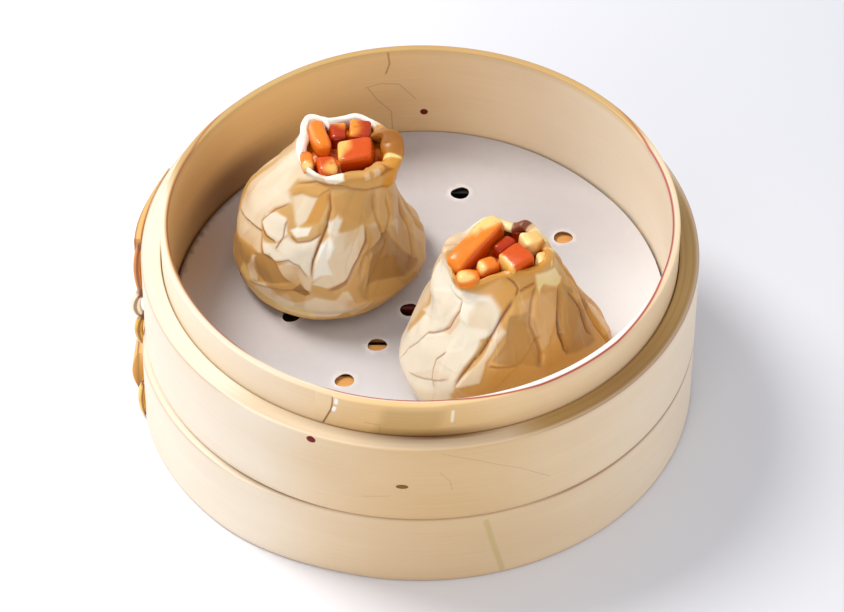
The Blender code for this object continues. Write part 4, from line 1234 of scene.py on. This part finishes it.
# Each patch's colour and its strength, the width of its soft edge, how far it stands out, and its outline.
# The brown patches and the deep red-brown ones are painted shade, the white ones painted highlights, and the
# gold ones in part painted shade.
left_dough.patches = [
    ("pale", 1.0, 2.0, 0.0, [
        (45, 62), (45, 41), (70, 39), (120, 40), (180, 41), (235, 41), (256, 43.2), (256, 62),
    ]),
    ("pale", 0.5, 5.0, 0.0, [(170, 42), (150, 20), (110, 24), (80, 30), (70, 42)]),
    ("pale", 0.75, 2.0, 0.0, [
        (150, 41), (167, 40.5), (162, 35), (163, 27.5), (174, 21.5), (218, 26), (212, 29), (214, 32),
        (225, 35), (214, 36.5), (215, 39), (240, 42), (218, 43), (186, 43),
    ]),
    ("pale", 0.6, 1.0, -0.2, [(172, 21), (182, 17), (216, 21), (226, 21), (218, 26)]),
    ("pale", 0.65, 1.2, -0.25, [(220, 36), (230, 37.5), (248, 38), (249, 33), (244, 31), (230, 34)]),
    ("pale", 1.0, 0.6, 0.3, [
        (214, 28), (212, 30), (219, 32), (231, 32), (240, 29), (238, 27), (234, 26), (225, 26.5),
    ]),
    ("pale", 0.9, 1.2, 0.15, [
        (224, 24), (233, 25.5), (240, 28), (250, 27.5), (266, 30), (266, 22.5), (264, 18), (248, 23),
        (238, 21.5), (229, 22),
    ]),
    ("gold", 0.25, 1.5, 0.1, [(259, 39.5), (299, 38.5), (306, 31.5), (286, 33.5), (284, 31), (272, 33)]),
    ("pale", 0.7, 1.2, 0.35, [
        (276, 31), (304, 31.5), (306, 27.5), (298, 22.5), (288, 18), (274, 16), (264, 17), (272, 20),
        (280, 20), (276, 24.5),
    ]),
    ("pale", 0.5, 0.8, 0.2, [(241, 20.5), (252, 23), (265, 19), (262, 15), (252, 16), (244, 18)]),
    ("pale", 0.3, 3.0, 0.0, [(210, 5), (230, 11), (261, 14), (278, 12), (277, 4.5), (250, 3), (230, 5)]),
    ("pale", 0.55, 1.0, 0.15, [(276, 12), (282, 15), (286, 15), (288, 10), (299, 9), (288, 4), (275, 7)]),
    ("pale", 0.35, 1.0, 0.2, [(306, 31), (316, 30), (324, 25), (313, 20), (296, 14), (306, 21), (311, 27)]),
    ("gold", 0.35, 1.2, 0.3, [(220, 36), (219, 38), (230, 41), (252, 42), (254, 40), (248, 38), (230, 37.5)]),
    ("gold", 0.7, 0.8, -0.2, [(249, 32), (248, 35), (249, 39), (256, 40), (262, 37), (260, 33)]),
    ("brown", 0.4, 2.0, 0.0, [
        (306, 31), (333, 26.5), (350, 23.5), (359, 9), (344, 7.5), (316, 7), (292, 10), (292, 15), (302, 19),
    ]),
    ("brown", 0.35, 1.5, 0.0, [(340, 35), (14, 23), (1, 19), (349, 18), (335, 26.5)]),
    ("brown", 0.8, 1.0, -0.3, [
        (310, 23.5), (327, 26), (336, 17), (342, 11), (327, 10), (308, 14), (299, 14.5),
    ]),
    ("brown", 0.35, 1.5, 0.0, [
        (172, 11), (216, 21), (228, 21), (220, 20), (208, 12), (218, 8.5), (200, 9), (184, 10),
    ]),
    ("brown", 0.5, 0.8, -0.3, [(220, 20), (233, 22.5), (241, 20), (248, 16), (227, 12), (220, 13)]),
    ("brown", 0.9, 0.5, -0.2, [(248, 14), (256, 17), (261, 14), (257, 13)]),
    ("pale", 0.75, 0.8, 0.2, [(208, 12), (218, 19), (222, 20), (218, 15), (222, 11), (217, 9.5)]),
    ("pale", 0.5, 0.6, 0.1, [(331, 26.5), (340, 26), (348, 23), (339, 20.5), (338, 23.5)]),
    ("painted_highlight", 0.85, 0.7, 0.1, [(240, 30), (244, 31), (256, 32), (256, 30), (248, 29)]),
    ("painted_highlight", 0.95, 1.0, 0.0, [
        (274, 31), (268, 28), (267, 22), (265, 18), (272, 20), (280, 20), (276, 24.5), (279, 28),
    ]),
    ("painted_highlight", 0.7, 1.2, 0.0, [(268, 33), (275, 35), (281, 34), (280, 31), (272, 31)]),
    ("gold", 0.35, 2.0, 0.0, [(254, 47), (250, 40.5), (282, 40.5), (316, 41), (318, 47)]),
    ("pale", 0.8, 1.0, 0.2, [(292, 43.6), (299, 43.8), (300, 41.6), (292, 41.5)]),
    ("pale", 0.8, 1.0, 0.2, [(304, 43.8), (312, 43.8), (312, 41.6), (303, 41.5)]),
    ("yellow", 0.8, 1.0, 0.0, [(255, 52), (262, 45.0), (300, 45.0), (318, 45.5), (318, 52)]),
    ("yellow", 0.55, 1.5, 0.0, [
        (20, 54), (20, 45.6), (45, 45), (70, 44.6), (120, 44.6), (150, 44.8), (150, 54),
    ]),
    ("painted_highlight", 0.9, 1.5, 0.0, [(55, 50), (55, 42.2), (120, 41.5), (180, 42), (235, 42.5), (240, 48)]),
    ("gold", 1.0, 2.0, 0.0, [
        (318, 50), (316, 41), (326, 37), (355, 34), (20, 34), (38, 38), (46, 44), (44, 50),
    ]),
    ("deep_shade", 0.5, 0.8, 0.0, [(338, 45.2), (348, 42), (8, 42.8), (34, 43.5), (36, 46), (10, 47)]),
    ("deep_shade", 0.6, 0.6, 0.0, [(12, 47), (350, 45.6), (30, 44.8), (48, 46)]),
    # A painted highlight: a yellow streak on the flap.
    ("yellow", 0.8, 0.4, 0.1, [(322, 45.4), (334, 44.2), (340, 43.2), (343, 43.8), (334, 45.2), (326, 46.2)]),
    ("pale", 0.7, 0.4, 0.0, [(352, 42.6), (8, 43), (4, 41.2), (354, 40.5)]),
    ("deep_shade", 0.5, 0.5, 0.0, [(310, 41.6), (316, 41), (326, 42.8), (320, 44), (317, 42.4)]),
    ("painted_highlight", 0.45, 1.2, 0.0, [
        (220, 25), (232, 24.5), (238, 24), (240, 29), (247, 28), (260, 29), (267, 30.5), (266, 28),
        (266, 24.5), (264, 20), (256, 22), (239, 21.5), (231, 22),
    ]),
    ("painted_highlight", 0.3, 0.8, 0.0, [
        (214, 28.5), (214, 30), (218, 31.5), (228, 32), (234, 31.5), (239, 29), (236, 27), (230, 27),
        (222, 27),
    ]),
    ("pale", 0.7, 1.0, 0.1, [
        (210, 11.5), (218, 10), (228, 12), (238, 10), (251, 10), (264, 13), (277, 11.5), (286, 7),
        (276, 4.5), (258, 4.5), (246, 4.5), (234, 6), (224, 8), (214, 9.5),
    ]),
    ("brown", 0.4, 1.5, 0.0, [
        (176, 10), (208, 20), (217, 19), (210, 13), (212, 9), (202, 4), (198, 7), (186, 10),
    ]),
    ("gold", 1.0, 1.6, 1.5, [
        (320, 40.5), (332, 36.5), (350, 35), (8, 36), (16, 40), (12, 43.2), (324, 43.2),
    ]),
    ("deep_shade", 0.25, 0.8, 0.0, [(340, 40), (346, 36), (358, 36), (2, 41), (352, 42)]),
    ("yellow", 0.4, 1.2, 0.0, [
        (204, 12), (212, 11), (222, 8.5), (236, 7.5), (250, 8), (262, 8), (264, 4), (240, 3), (220, 3),
        (202, 6),
    ]),
    ("brown", 0.3, 1.2, 0.0, [
        (259, 39.5), (294, 40), (316, 37.5), (319, 33.5), (304, 31), (284, 34.5), (270, 36),
    ]),
    ("painted_highlight", 0.8, 0.6, 0.25, [(246, 42), (250, 45), (266, 45.4), (270, 42.4), (258, 41.2)]),
    # Painted shadow: a dark brown line round the foot, where the cup meets the paper.
    ("brown", 0.9, 1.0, 0.0, [
        (166, 0), (166, 7), (185, 6), (205, 5), (225, 4), (245, 3), (262, 2.6), (262, 0),
    ]),
]
left_dough.cup("dough_cup_left", "wrapper_left")

right_dough = Dough(
    [
        (0.0, 17.0, 17.0, 24.0, -26.0),
        (1.2, 22.8, 23.3, 23.9, -25.9),
        (6.0, 28.1, 27.7, 23.6, -26.0),
        (12.5, 26.8, 27.0, 23.0, -26.2),
        (20.0, 23.1, 24.3, 21.9, -26.3),
        (27.0, 19.7, 20.9, 22.1, -25.4),
        (33.0, 17.4, 17.0, 21.0, -24.1),
        (38.0, 15.5, 13.0, 21.0, -23.1),
        (40.5, 14.9, 11.4, 20.9, -22.7),
        (43.0, 15.0, 10.8, 20.5, -22.2),
    ],
    edge=[
        (0, -1.2, 0.3, 3.0),
        (18, -1.8, 0.8, 3.6),
        (35, -1.4, 1.0, 3.6),
        (48, -0.9, 1.4, 3.4),
        (58, -1.2, 2.4, 3.0),
        (70, -1.6, 0.9, 3.0),
        (80, -1.2, 0.9, 3.2),
        (100, 0.3, 0.9, 1.8),
        (115, -0.4, 0.0, 1.8),
        (132, -1.6, -0.4, 2.6),
        (150, -1.0, -0.2, 4.4),
        (170, -0.4, -0.4, 5.6),
        (190, 0.0, -0.8, 4.4),
        (205, 0.0, -1.6, 2.2),
        (222, 1.5, -2.4, 1.2),
        (245, 1.2, -2.8, 1.2),
        (262, -0.4, -1.4, 1.8),
        (285, -0.8, -0.2, 2.0),
        (305, 0.0, 0.0, 2.0),
        (325, 0.2, 0.0, 2.4),
        (342, 0.2, 0.2, 3.0),
    ],
    seed=23,
)
right_dough.folds = [
    (0.9, 0.5, 1.2, 7.0, 1.0, [(284, 38), (274, 35), (259, 30), (247, 25), (242, 21), (238, 17)]),
    (0.3, 0.3, 0.4, 3.0, 0.9, [(277, 42.5), (284, 41), (288, 39.5), (284, 38)]),
    (0.3, 0.3, 0.3, 3.0, 0.8, [(307, 40), (296, 39.5), (288, 39)]),
    (0.3, 0.3, 0.4, 3.0, 0.7, [(216, 39), (220, 37.5), (232, 37)]),
    (0.4, 0.4, 0.5, 4.0, 0.8, [(232, 37), (232, 34), (222, 29), (202, 23.5), (190, 14), (187, 7.5)]),
    (0.2, 0.25, 0.3, 3.0, 0.8, [(226, 24.5), (220, 21), (220, 18), (224, 13)]),
    (0.2, 0.25, 0.3, 3.0, 0.3, [(200, 10), (214, 13), (234, 19)]),
    (1.2, 0.7, 1.2, 5.0, 0.9, [(338, 36), (324, 32), (318, 28), (320, 22)]),
    (0.9, 0.6, 1.0, 5.0, 0.8, [(350, 32.5), (350, 27), (352, 17.5)]),
    (0.7, 0.6, 0.8, 4.0, 0.5, [(308, 39.5), (300, 37), (295, 32.5), (298, 26), (296, 23)]),
    (0.2, 0.25, 0.3, 2.0, 0.5, [(258, 25), (270, 25), (280, 25)]),
    (0.5, 0.5, 0.7, 4.0, 0.5, [(172, 43), (172, 37), (184, 28.5)]),
    (1.1, 1.0, 0.9, 4.5, 0.5, [(16, 39), (12, 30), (6, 20), (356, 8)]),
    (1.2, 1.0, 1.0, 4.5, 0.4, [(40, 40), (36, 30), (30, 20), (22, 8)]),
    (1.2, 1.1, 1.0, 5.0, 0.4, [(66, 41), (60, 31), (54, 20), (48, 8)]),
    (1.0, 1.0, 0.9, 4.5, 0.4, [(92, 41), (86, 30), (82, 19), (74, 8)]),
    (1.1, 1.0, 0.9, 4.5, 0.4, [(118, 41), (113, 30), (108, 18), (101, 8)]),
    (0.9, 1.0, 0.8, 4.5, 0.4, [(146, 40), (142, 29), (138, 18), (130, 9)]),
]
right_dough.patches = [
    ("pale", 1.0, 2.0, 0.0, [
        (75, 46), (112, 42), (150, 44), (205, 46), (222, 46), (222, 60), (100, 60), (75, 60),
    ]),
    ("pale", 0.7, 5.0, 0.0, [(110, 44), (165, 44), (180, 28), (176, 10), (150, 12), (120, 24)]),
    ("pale", 0.9, 3.0, 0.0, [(165, 14), (236, 16), (240, 8), (244, -2), (165, -2)]),
    ("yellow", 0.5, 1.0, 0.0, [(8, 46), (12, 41.5), (28, 41.5), (44, 43), (44, 45.5), (24, 46)]),
    ("pale", 0.95, 1.5, 0.0, [
        (165, 43), (166, 42), (172, 37), (184, 28.5), (186, 24.5), (176, 11), (186, 8), (202, 7), (219, 11),
        (238, 16), (239, 18), (241, 23), (252, 30), (268, 33), (269, 36), (260, 39), (246, 40), (222, 39.5),
        (215, 40), (222, 43), (165, 43),
    ]),
    ("pale", 0.75, 1.0, 0.2, [
        (192, 30.5), (188, 32.5), (216, 37), (228, 35.5), (216, 31), (200, 27), (178, 23),
    ]),
    ("pale", 1.0, 1.0, 0.3, [
        (233, 37), (250, 39.5), (262, 38), (268, 35), (266, 31), (252, 30), (238, 27), (240, 32), (234, 33),
    ]),
    ("pale", 0.85, 0.8, 0.25, [
        (272, 33), (260, 30), (244, 22), (238, 18), (255, 21), (257, 26), (266, 30), (274, 32),
    ]),
    ("pale", 0.9, 1.0, 0.2, [(308, 42), (338, 40.5), (350, 36), (336, 36), (316, 39), (308, 38)]),
    ("pale", 0.35, 1.2, 0.25, [
        (307, 38), (336, 36), (326, 33), (306, 28), (299, 27), (295, 32.5), (286, 34), (288, 37),
    ]),
    ("pale", 0.55, 1.0, 0.1, [(352, 28), (356, 18), (351, 17), (344, 25)]),
    ("gold", 0.6, 6.0, 0.0, [
        (276, 43), (288, 38), (274, 34), (274, 32), (256, 25), (255, 21), (238, 16), (290, 21), (350, 17),
        (356, 18), (354, 28), (356, 35.5), (312, 42),
    ]),
    ("gold", 0.75, 1.5, 0.2, [
        (246, 40), (272, 42), (289, 39), (284, 38), (274, 34), (272, 33), (269, 36), (260, 39),
    ]),
    ("gold", 0.8, 0.5, -0.1, [(229, 33.5), (232, 37), (234, 32), (224, 28), (215, 27), (224, 31.5)]),
    ("gold", 0.3, 0.7, 0.0, [
        (200, 10), (220, 18), (218, 21), (222, 18.5), (234, 20), (234, 18), (225, 17), (225, 13), (220, 15),
        (204, 10),
    ]),
    ("brown", 0.55, 1.2, -0.2, [
        (338, 36), (350, 32.5), (350, 27), (351, 17), (320, 22), (320, 27), (326, 32),
    ]),
    ("brown", 0.45, 0.8, -0.2, [
        (278, 35), (296, 35), (292, 31.5), (298, 26), (296, 23), (280, 25), (260, 26), (272, 30),
    ]),
    ("brown", 0.9, 0.4, -0.3, [(324, 32), (320, 28), (323, 22), (320, 22), (316, 27), (320, 31)]),
    ("painted_highlight", 0.85, 0.8, 0.15, [(220, 21), (226, 24.5), (252, 30), (246, 26.5), (238, 21), (224, 21)]),
    ("painted_highlight", 0.6, 1.0, 0.1, [(186, 22.5), (196, 28), (200, 27), (218, 29), (198, 21), (190, 16)]),
    ("painted_highlight", 0.7, 0.8, 0.1, [(216, 39), (224, 38), (233, 37), (244, 38), (242, 39), (228, 38.5)]),
    ("gold", 0.7, 12.0, 0.0, [(0, 36), (60, 36), (60, 20), (20, 1), (320, 1), (346, 12)]),
    ("gold", 0.8, 1.5, 0.0, [(345, 60), (345, 44), (3, 45), (44, 45.6), (44, 60)]),
    ("yellow", 0.7, 0.5, 0.1, [(350, 43.4), (356, 44), (2, 42.4), (356, 41)]),
    ("yellow", 1.0, 1.0, 0.0, [(76, 50), (68, 44), (90, 43.5), (106, 44), (104, 50)]),
    ("yellow", 0.55, 1.0, 0.1, [(308, 42), (338, 40.5), (350, 36), (336, 36), (316, 39), (308, 38)]),
    ("gold", 0.9, 2.0, 0.0, [
        (224, 60), (222, 40.5), (246, 41), (275, 42.2), (300, 42.2), (340, 43.5), (0, 44), (0, 60),
    ]),
    ("deep_shade", 0.9, 0.6, 0.0, [(48, 60), (50, 43.4), (60, 42.6), (72, 43.6), (74, 60)]),
    ("pale", 0.4, 1.5, 0.0, [
        (247, 38), (260, 38), (267, 36), (268, 34), (261, 32), (252, 32), (242, 32), (240, 35),
    ]),
    ("gold", 0.55, 1.5, 0.0, [
        (246, 40), (261, 42), (276, 42.5), (288, 39.5), (284, 37.5), (278, 36), (270, 34.5), (264, 37.5),
        (255, 39),
    ]),
    ("painted_highlight", 0.85, 0.6, 0.25, [
        (214, 39), (222, 39), (228, 39), (244, 40), (245, 38.5), (240, 37), (230, 37), (222, 37.5),
        (216, 38),
    ]),
    # Its doubled first point thins the painted highlight to a half, and lets it run on over the edge beyond
    # that point.
    ("painted_highlight", 0.45, 1.5, 0.0, [(187, 43), (187, 43), (207, 43), (210, 43), (191, 40), (188, 42.5)]),
    ("brown", 0.45, 0.8, -0.2, [
        (336, 36.5), (347, 35), (359, 31), (338, 32), (328, 29), (327, 25), (322, 22), (317, 25),
        (320, 28.5), (325, 32.5),
    ]),
    ("brown", 0.5, 0.8, -0.2, [(359, 31), (13, 22), (2, 19.5), (351, 17), (339, 19), (344, 24), (348, 28.5)]),
    ("yellow", 0.3, 0.8, 0.2, [(26, 16), (26, 10), (16, 9), (1, 14), (5, 16), (12, 18)]),
    ("brown", 0.35, 0.8, -0.15, [(294, 34), (300, 34), (297, 22), (291, 28)]),
    ("painted_highlight", 0.4, 2.5, 0.0, [
        (165, 43), (172, 37), (184, 28.5), (186, 24.5), (176, 11), (186, 8), (202, 7), (219, 11), (238, 16),
        (241, 23), (252, 30), (268, 33), (269, 36), (260, 39), (246, 40), (222, 39.5),
    ]),
]
right_dough.cup("dough_cup_right", "wrapper_right")

# ------------------------------------------------------------------- fillings
# A soft mince runs down through each cup. What shows of it at the mouth is a
# bumpy bed, glazed with orange oil, that the diced toppings are pressed into.
FILLING = Finish(
    "filling", Subsurface_Weight=0.2, Subsurface_Scale=1 * MM, Coat_Weight=0.3, Coat_Roughness=0.12, IOR=1.38
)
FILLING.shader.inputs["Subsurface Radius"].default_value = (2.0, 0.8, 0.3)
mince_places = FILLING.node("ShaderNodeTexCoord", output="Object")
mince_cloud = FILLING.noise(mince_places, (300, 300, 300), 2)
mince_grain = FILLING.noise(mince_places, (1300, 1300, 1300), 3)
mince_colour = FILLING.mix(mince_cloud.within(0.35, 0.65), tint(204, 82, 12), tint(240, 140, 44))
mince_colour = FILLING.mix((mince_grain - 0.6).within(0, 0.2) * 0.6, mince_colour, tint(250, 196, 96))
FILLING.wear(mince_colour, mince_grain * 0.2 + 0.18, mince_grain, 0.06 * MM)
MINCE_AROUND = 120
MINCE_UNDER_TOP = 0.9
MINCE_HEAP = 1.8


def mince(name, dough, node, seed):
    """The filling of one cup: it follows the inside of the dough and is heaped a little at its top."""
    mince_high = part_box(node)[1]
    high = (mince_high.z - DOUGH_FLOOR) / MM - MINCE_UNDER_TOP
    azimuth = (np.arange(MINCE_AROUND) * 360 / MINCE_AROUND)[None, :]
    height = np.linspace(1.7, high, 14)[:, None]
    out = dough.shape(azimuth, height)[0] * ease(height, 2, 8)
    side = dough.point(azimuth, height, DOUGH_THICK + 0.1, out)
    base = side[0].mean(axis=0)
    sole = base + (side[0] - base) * np.array([0, 0.6])[:, None, None]
    share = np.linspace(0.97, 0, 22)[:, None, None]
    middle = side[-1].mean(axis=0)
    top = middle + (side[-1] - middle) * share
    share = share[..., 0]
    heap = MINCE_HEAP * (1 - share**2) + 0.35 * ripple(top / MM, 2.6, seed) * (1 - share**6)
    top[..., 2] += heap * MM
    points = np.concatenate([sole, side, top])
    place(skin(name, points, (False, True), poles=True), FILLING, "filling", node)


mince("mince_left", left_dough, "filling_left", 31)
mince("mince_right", right_dough, "filling_right", 37)

# ------------------------------------------------------------------- toppings
# Diced carrot, red pepper and pale root, cooked soft and shiny with oil. Each piece
# is cut by hand, so no two are alike, and it sits half sunk in the mince.
MORSEL_ROWS = 34
MORSEL_AROUND = 48


def cooked(name, deep, plain, light):
    """Cooked root or pepper, with painted shade and highlights: dark underneath and on its shaded side, plain
    at the sides, and a painted highlight on its lit side.
    """
    finish = Finish(
        name, Subsurface_Weight=0.12, Subsurface_Scale=1 * MM, Coat_Weight=0.24, Coat_Roughness=0.1, IOR=1.34
    )
    finish.shader.inputs["Subsurface Radius"].default_value = (1.6, 0.5, 0.2)
    places = finish.node("ShaderNodeTexCoord", output="Object")
    fleck = finish.noise(places, (700, 700, 700), 3)
    cloud = finish.noise(places, (260, 260, 260), 2)
    # Painted shade underneath and on the shaded side, and a painted highlight on the lit side.
    underside_shade = finish.mark("underside_shade") + (cloud - 0.5) * 0.5
    colour = finish.mix(underside_shade.within(0.05, 0.3), tint(*deep), tint(*plain))
    colour = finish.mix(finish.mark("painted_shade"), colour, tint(*deep))
    colour = finish.mix(finish.mark("highlight_spot") * cloud.within(0.25, 0.5), colour, tint(*light))
    finish.wear(colour, fleck * 0.15 + 0.2, fleck, 0.03 * MM)
    return finish


def morsel(name, node, finish, slot, middle, size, turn, tilt, corners, highlight_side, shade_side, seed, bend):
    """One piece of topping. corners is how round they are, from 0.2 for a cut dice to 1 for a lump."""
    climb = np.linspace(-math.pi / 2, math.pi / 2, MORSEL_ROWS)[:, None]
    around = np.linspace(0, 2 * math.pi, MORSEL_AROUND, endpoint=False)[None, :]

    def square(wave):
        return np.sign(wave) * np.abs(wave) ** corners

    local = np.stack(
        [
            square(np.cos(climb)) * square(np.cos(around)),
            square(np.cos(climb)) * square(np.sin(around)),
            square(np.sin(climb)) + 0 * around,
        ],
        axis=-1,
    )
    # Painted shade underneath and on one side, and a painted highlight on another.
    underside_shade = 0.5 + 0.5 * local[..., 2]
    highlight_spot = ease(local @ np.array(highlight_side), 0.55, 0.95)
    painted_shade = ease(local @ np.array(shade_side), 0.6, 0.9)
    local[..., 0] += bend * local[..., 1] ** 2
    half = np.array(size) / 2
    body = local * half
    body += (0.06 * half.min() * ripple(local, 1.1, seed))[..., None] * local
    body += (0.02 * half.min() * ripple(local, 0.4, seed + 1))[..., None] * local
    turning = Matrix.Rotation(math.radians(turn), 3, "Z") @ Matrix.Rotation(math.radians(tilt), 3, "Y")
    points = body @ np.array(turning).T + np.array(middle)
    points = points * MM + np.array([AXIS.x, AXIS.y, 0])
    marks = {"underside_shade": underside_shade, "highlight_spot": highlight_spot, "painted_shade": painted_shade}
    place(skin(name, points, (False, True), None, marks, 60, True), finish, slot, node)


CARROT = cooked("carrot", (206, 82, 8), (240, 132, 32), (253, 212, 132))
GLAZED = cooked("glazed_carrot", (150, 34, 2), (214, 82, 4), (250, 196, 104))
PEPPER = cooked("red_pepper", (140, 28, 0), (182, 54, 0), (240, 150, 52))
ROOT = cooked("pale_root", (206, 130, 50), (244, 194, 116), (252, 226, 156))
SLOTS = {CARROT: "carrot", GLAZED: "carrot", PEPPER: "red_dice", ROOT: "pale_dice"}
# Each topping's piece and node, its finish, its middle and size in mm, its turn and tilt in degrees, the
# roundness of its corners, and the directions of its painted highlight and its painted shade.
TOPPINGS = (
    ("strip_left", "carrot_strip_left", CARROT,
     (-27.3, 19.3, 71.4), (4.5, 11.2, 5.4), 15, 6, 0.5, (-0.5, 0, 0.3), (0.9, -0.4, 0)),
    ("drop_left", "carrot_drop_left", CARROT,
     (-30.1, 10.7, 70.6), (3.7, 6.8, 4.6), 8, -8, 0.7, (-0.2, -0.7, 0.7), (0, 0.9, 0.3)),
    ("dice_left", "carrot_dice_left", GLAZED,
     (-24.9, 8.6, 70.5), (5.6, 6.4, 4.8), 14, 5, 0.55, (0.3, -0.4, 0.7), (-1, 0, -0.5)),
    ("brown_left", "brown_dice_left", PEPPER,
     (-22.1, 21.2, 70.6), (4.7, 6.7, 5.0), 5, 0, 0.45, (0.2, 0.5, 0.5), (0, -1, 0)),
    ("red_left", "red_dice_left", PEPPER,
     (-16.3, 21.6, 71.2), (6.0, 6.7, 5.6), -4, 4, 0.4, (-0.45, 0, 0.7), (1, 0, -0.6)),
    ("cube_left", "large_dice_left", GLAZED,
     (-17.2, 13.0, 71.2), (9.4, 8.0, 6.2), 4, -10, 0.24, (-0.9, 0.3, 0.3), (0, -1.2, -0.9)),
    ("baton_right", "carrot_baton_right", CARROT,
     (14.6, -20.8, 70.9), (19.4, 6.6, 6.4), 50, -9, 0.5, (0.9, 0.6, 0.4), (0, -0.9, 0.1)),
    ("lump_right", "carrot_lump_right", CARROT,
     (12.5, -31.3, 69.2), (6.4, 4.6, 4.4), 10, 8, 0.7, (-0.4, -0.3, 0.8), (0, 0.9, 0)),
    ("nub_right", "carrot_dice_right", CARROT,
     (17.6, -28.2, 70.2), (5.8, 4.9, 4.6), 24, 4, 0.6, (-0.7, 0, 0.5), (0, -1, -0.2)),
    ("cube_right", "large_dice_right", GLAZED,
     (25.1, -27.2, 71.0), (7.2, 7.3, 6.8), 34, -8, 0.24, (-1, 0, 0), (0, -1.2, -0.9)),
    ("pale_right", "pale_dice_right", ROOT,
     (28.8, -20.6, 71.4), (5.6, 5.4, 5.4), 24, 10, 0.4, (-0.5, 0, 0.6), (0.6, -0.6, 0)),
    ("red_back_right", "pepper_dice_right", PEPPER,
     (25.7, -14.7, 69.6), (4.4, 4.4, 4.6), 10, 0, 0.6, (0, 0, -1), (0, -0.5, 0.6)),
    ("red_strip_right", "pepper_strip_right", PEPPER,
     (22.0, -20.6, 70.0), (4.0, 6.4, 4.6), -42, 0, 0.6, (0, 0, -1), (0, -0.6, 0.3)),
    ("brown_right", "brown_dice_right", ROOT,
     (32.4, -25.7, 69.8), (4.6, 5.2, 4.6), 8, 5, 0.5, (-0.8, 0, 0.4), (1, 0, 0)),
)
for number, (name, node, finish, *cut) in enumerate(TOPPINGS):
    bend = 0.25 if name == "strip_left" else 0
    morsel(name, node, finish, SLOTS[finish], *cut, seed=41 + 2 * number, bend=bend)

# ---------------------------------------------------------------------- table
# The basket stands on a white table top, which is only there to take its shadow.
TABLE_REACH = 4.0
table_corners = [(x * TABLE_REACH, y * TABLE_REACH, 0) for x, y in ((-1, -1), (1, -1), (1, 1), (-1, 1))]
table_top = bpy.data.meshes.new("table")
table_top.from_pydata(table_corners, [], [(0, 1, 2, 3)])
table = bpy.data.objects.new("table", table_top)
bpy.context.scene.collection.objects.link(table)
TABLE = Finish("table_top", IOR=1.3)
table_places = TABLE.node("ShaderNodeTexCoord", output="Object")
table_x = TABLE.node("ShaderNodeSeparateXYZ", None, {0: table_places})
table_y = TABLE.node("ShaderNodeSeparateXYZ", None, {0: table_places}, 1)
table_grain = TABLE.noise(table_places, (300, 300, 300))
# Painted shade: the table top greys towards the right and a little towards the back.
painted_falloff = (table_x + table_y * 0.15).within(-0.14, 0.22)
TABLE.wear(TABLE.mix(painted_falloff, tint(248, 249, 254), tint(216, 219, 225)), table_grain * 0.1 + 0.55)
table_top.materials.append(TABLE.material)
table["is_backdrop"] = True

# ---------------------------------------------------------------------- light
# A window behind on the left throws the shadow forwards to the right. Two weak
# lamps, low on the right and in front, stand for the light that the room returns.
scene = bpy.context.scene
scene.view_settings.view_transform = "Standard"
room = bpy.data.worlds.new("room")
room.use_nodes = True
room.node_tree.nodes["Background"].inputs["Color"].default_value = tint(244, 246, 255)
room.node_tree.nodes["Background"].inputs["Strength"].default_value = 0.58
scene.world = room


def lamp(name, azimuth, elevation, distance, size, power, colour):
    """A round lamp that looks at the basket from a direction, at a distance in metres."""
    light = bpy.data.lights.new(name, "AREA")
    light.shape = "DISK"
    light.size = size
    light.energy = power
    light.color = colour[:3]
    shade = bpy.data.objects.new(name, light)
    scene.collection.objects.link(shade)
    turn, rise = math.radians(azimuth), math.radians(elevation)
    back = Vector((math.cos(turn) * math.cos(rise), math.sin(turn) * math.cos(rise), math.sin(rise)))
    shade.location = Vector((AXIS.x, 0, 30 * MM)) + back * distance
    shade.rotation_euler = back.to_track_quat("Z", "Y").to_euler()


lamp("window", 148, 55, 1.5, 0.62, 16.6, tint(255, 250, 244))
lamp("room_fill", -15, 15, 2.2, 1.2, 7.5, tint(255, 244, 230))
lamp("front_fill", 254, 30, 2.2, 1.2, 11.0, tint(255, 247, 234))

# --------------------------------------------------------------------- camera
# A long lens, far off and above the front, with the horizon tipped a third of a degree.
CAMERA_PLACE = Vector((AXIS.x + 0.571 * MM, -813.18 * MM, 845.50 * MM))
CAMERA_TILT = math.radians(90 - 45.163)
CAMERA_ROLL = math.radians(0.33)
camera = bpy.data.objects.new("camera", bpy.data.cameras.new("camera"))
camera.data.lens = 181.04
camera.data.sensor_width = 36
camera.data.clip_start = 0.1
camera.data.clip_end = 20
camera.location = CAMERA_PLACE
aim = Matrix.Rotation(CAMERA_TILT, 3, "X") @ Matrix.Rotation(CAMERA_ROLL, 3, "Z")
camera.rotation_euler = aim.to_euler()
scene.collection.objects.link(camera)
scene.camera = camera

# ------------------------------------------------------------------------ end
# The box of the CAD model and the box of the finished one, as plain lists.
sizes = {
    "cad": [list(cad_low), list(cad_high)],
    "visual": [list(corner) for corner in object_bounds()],
}
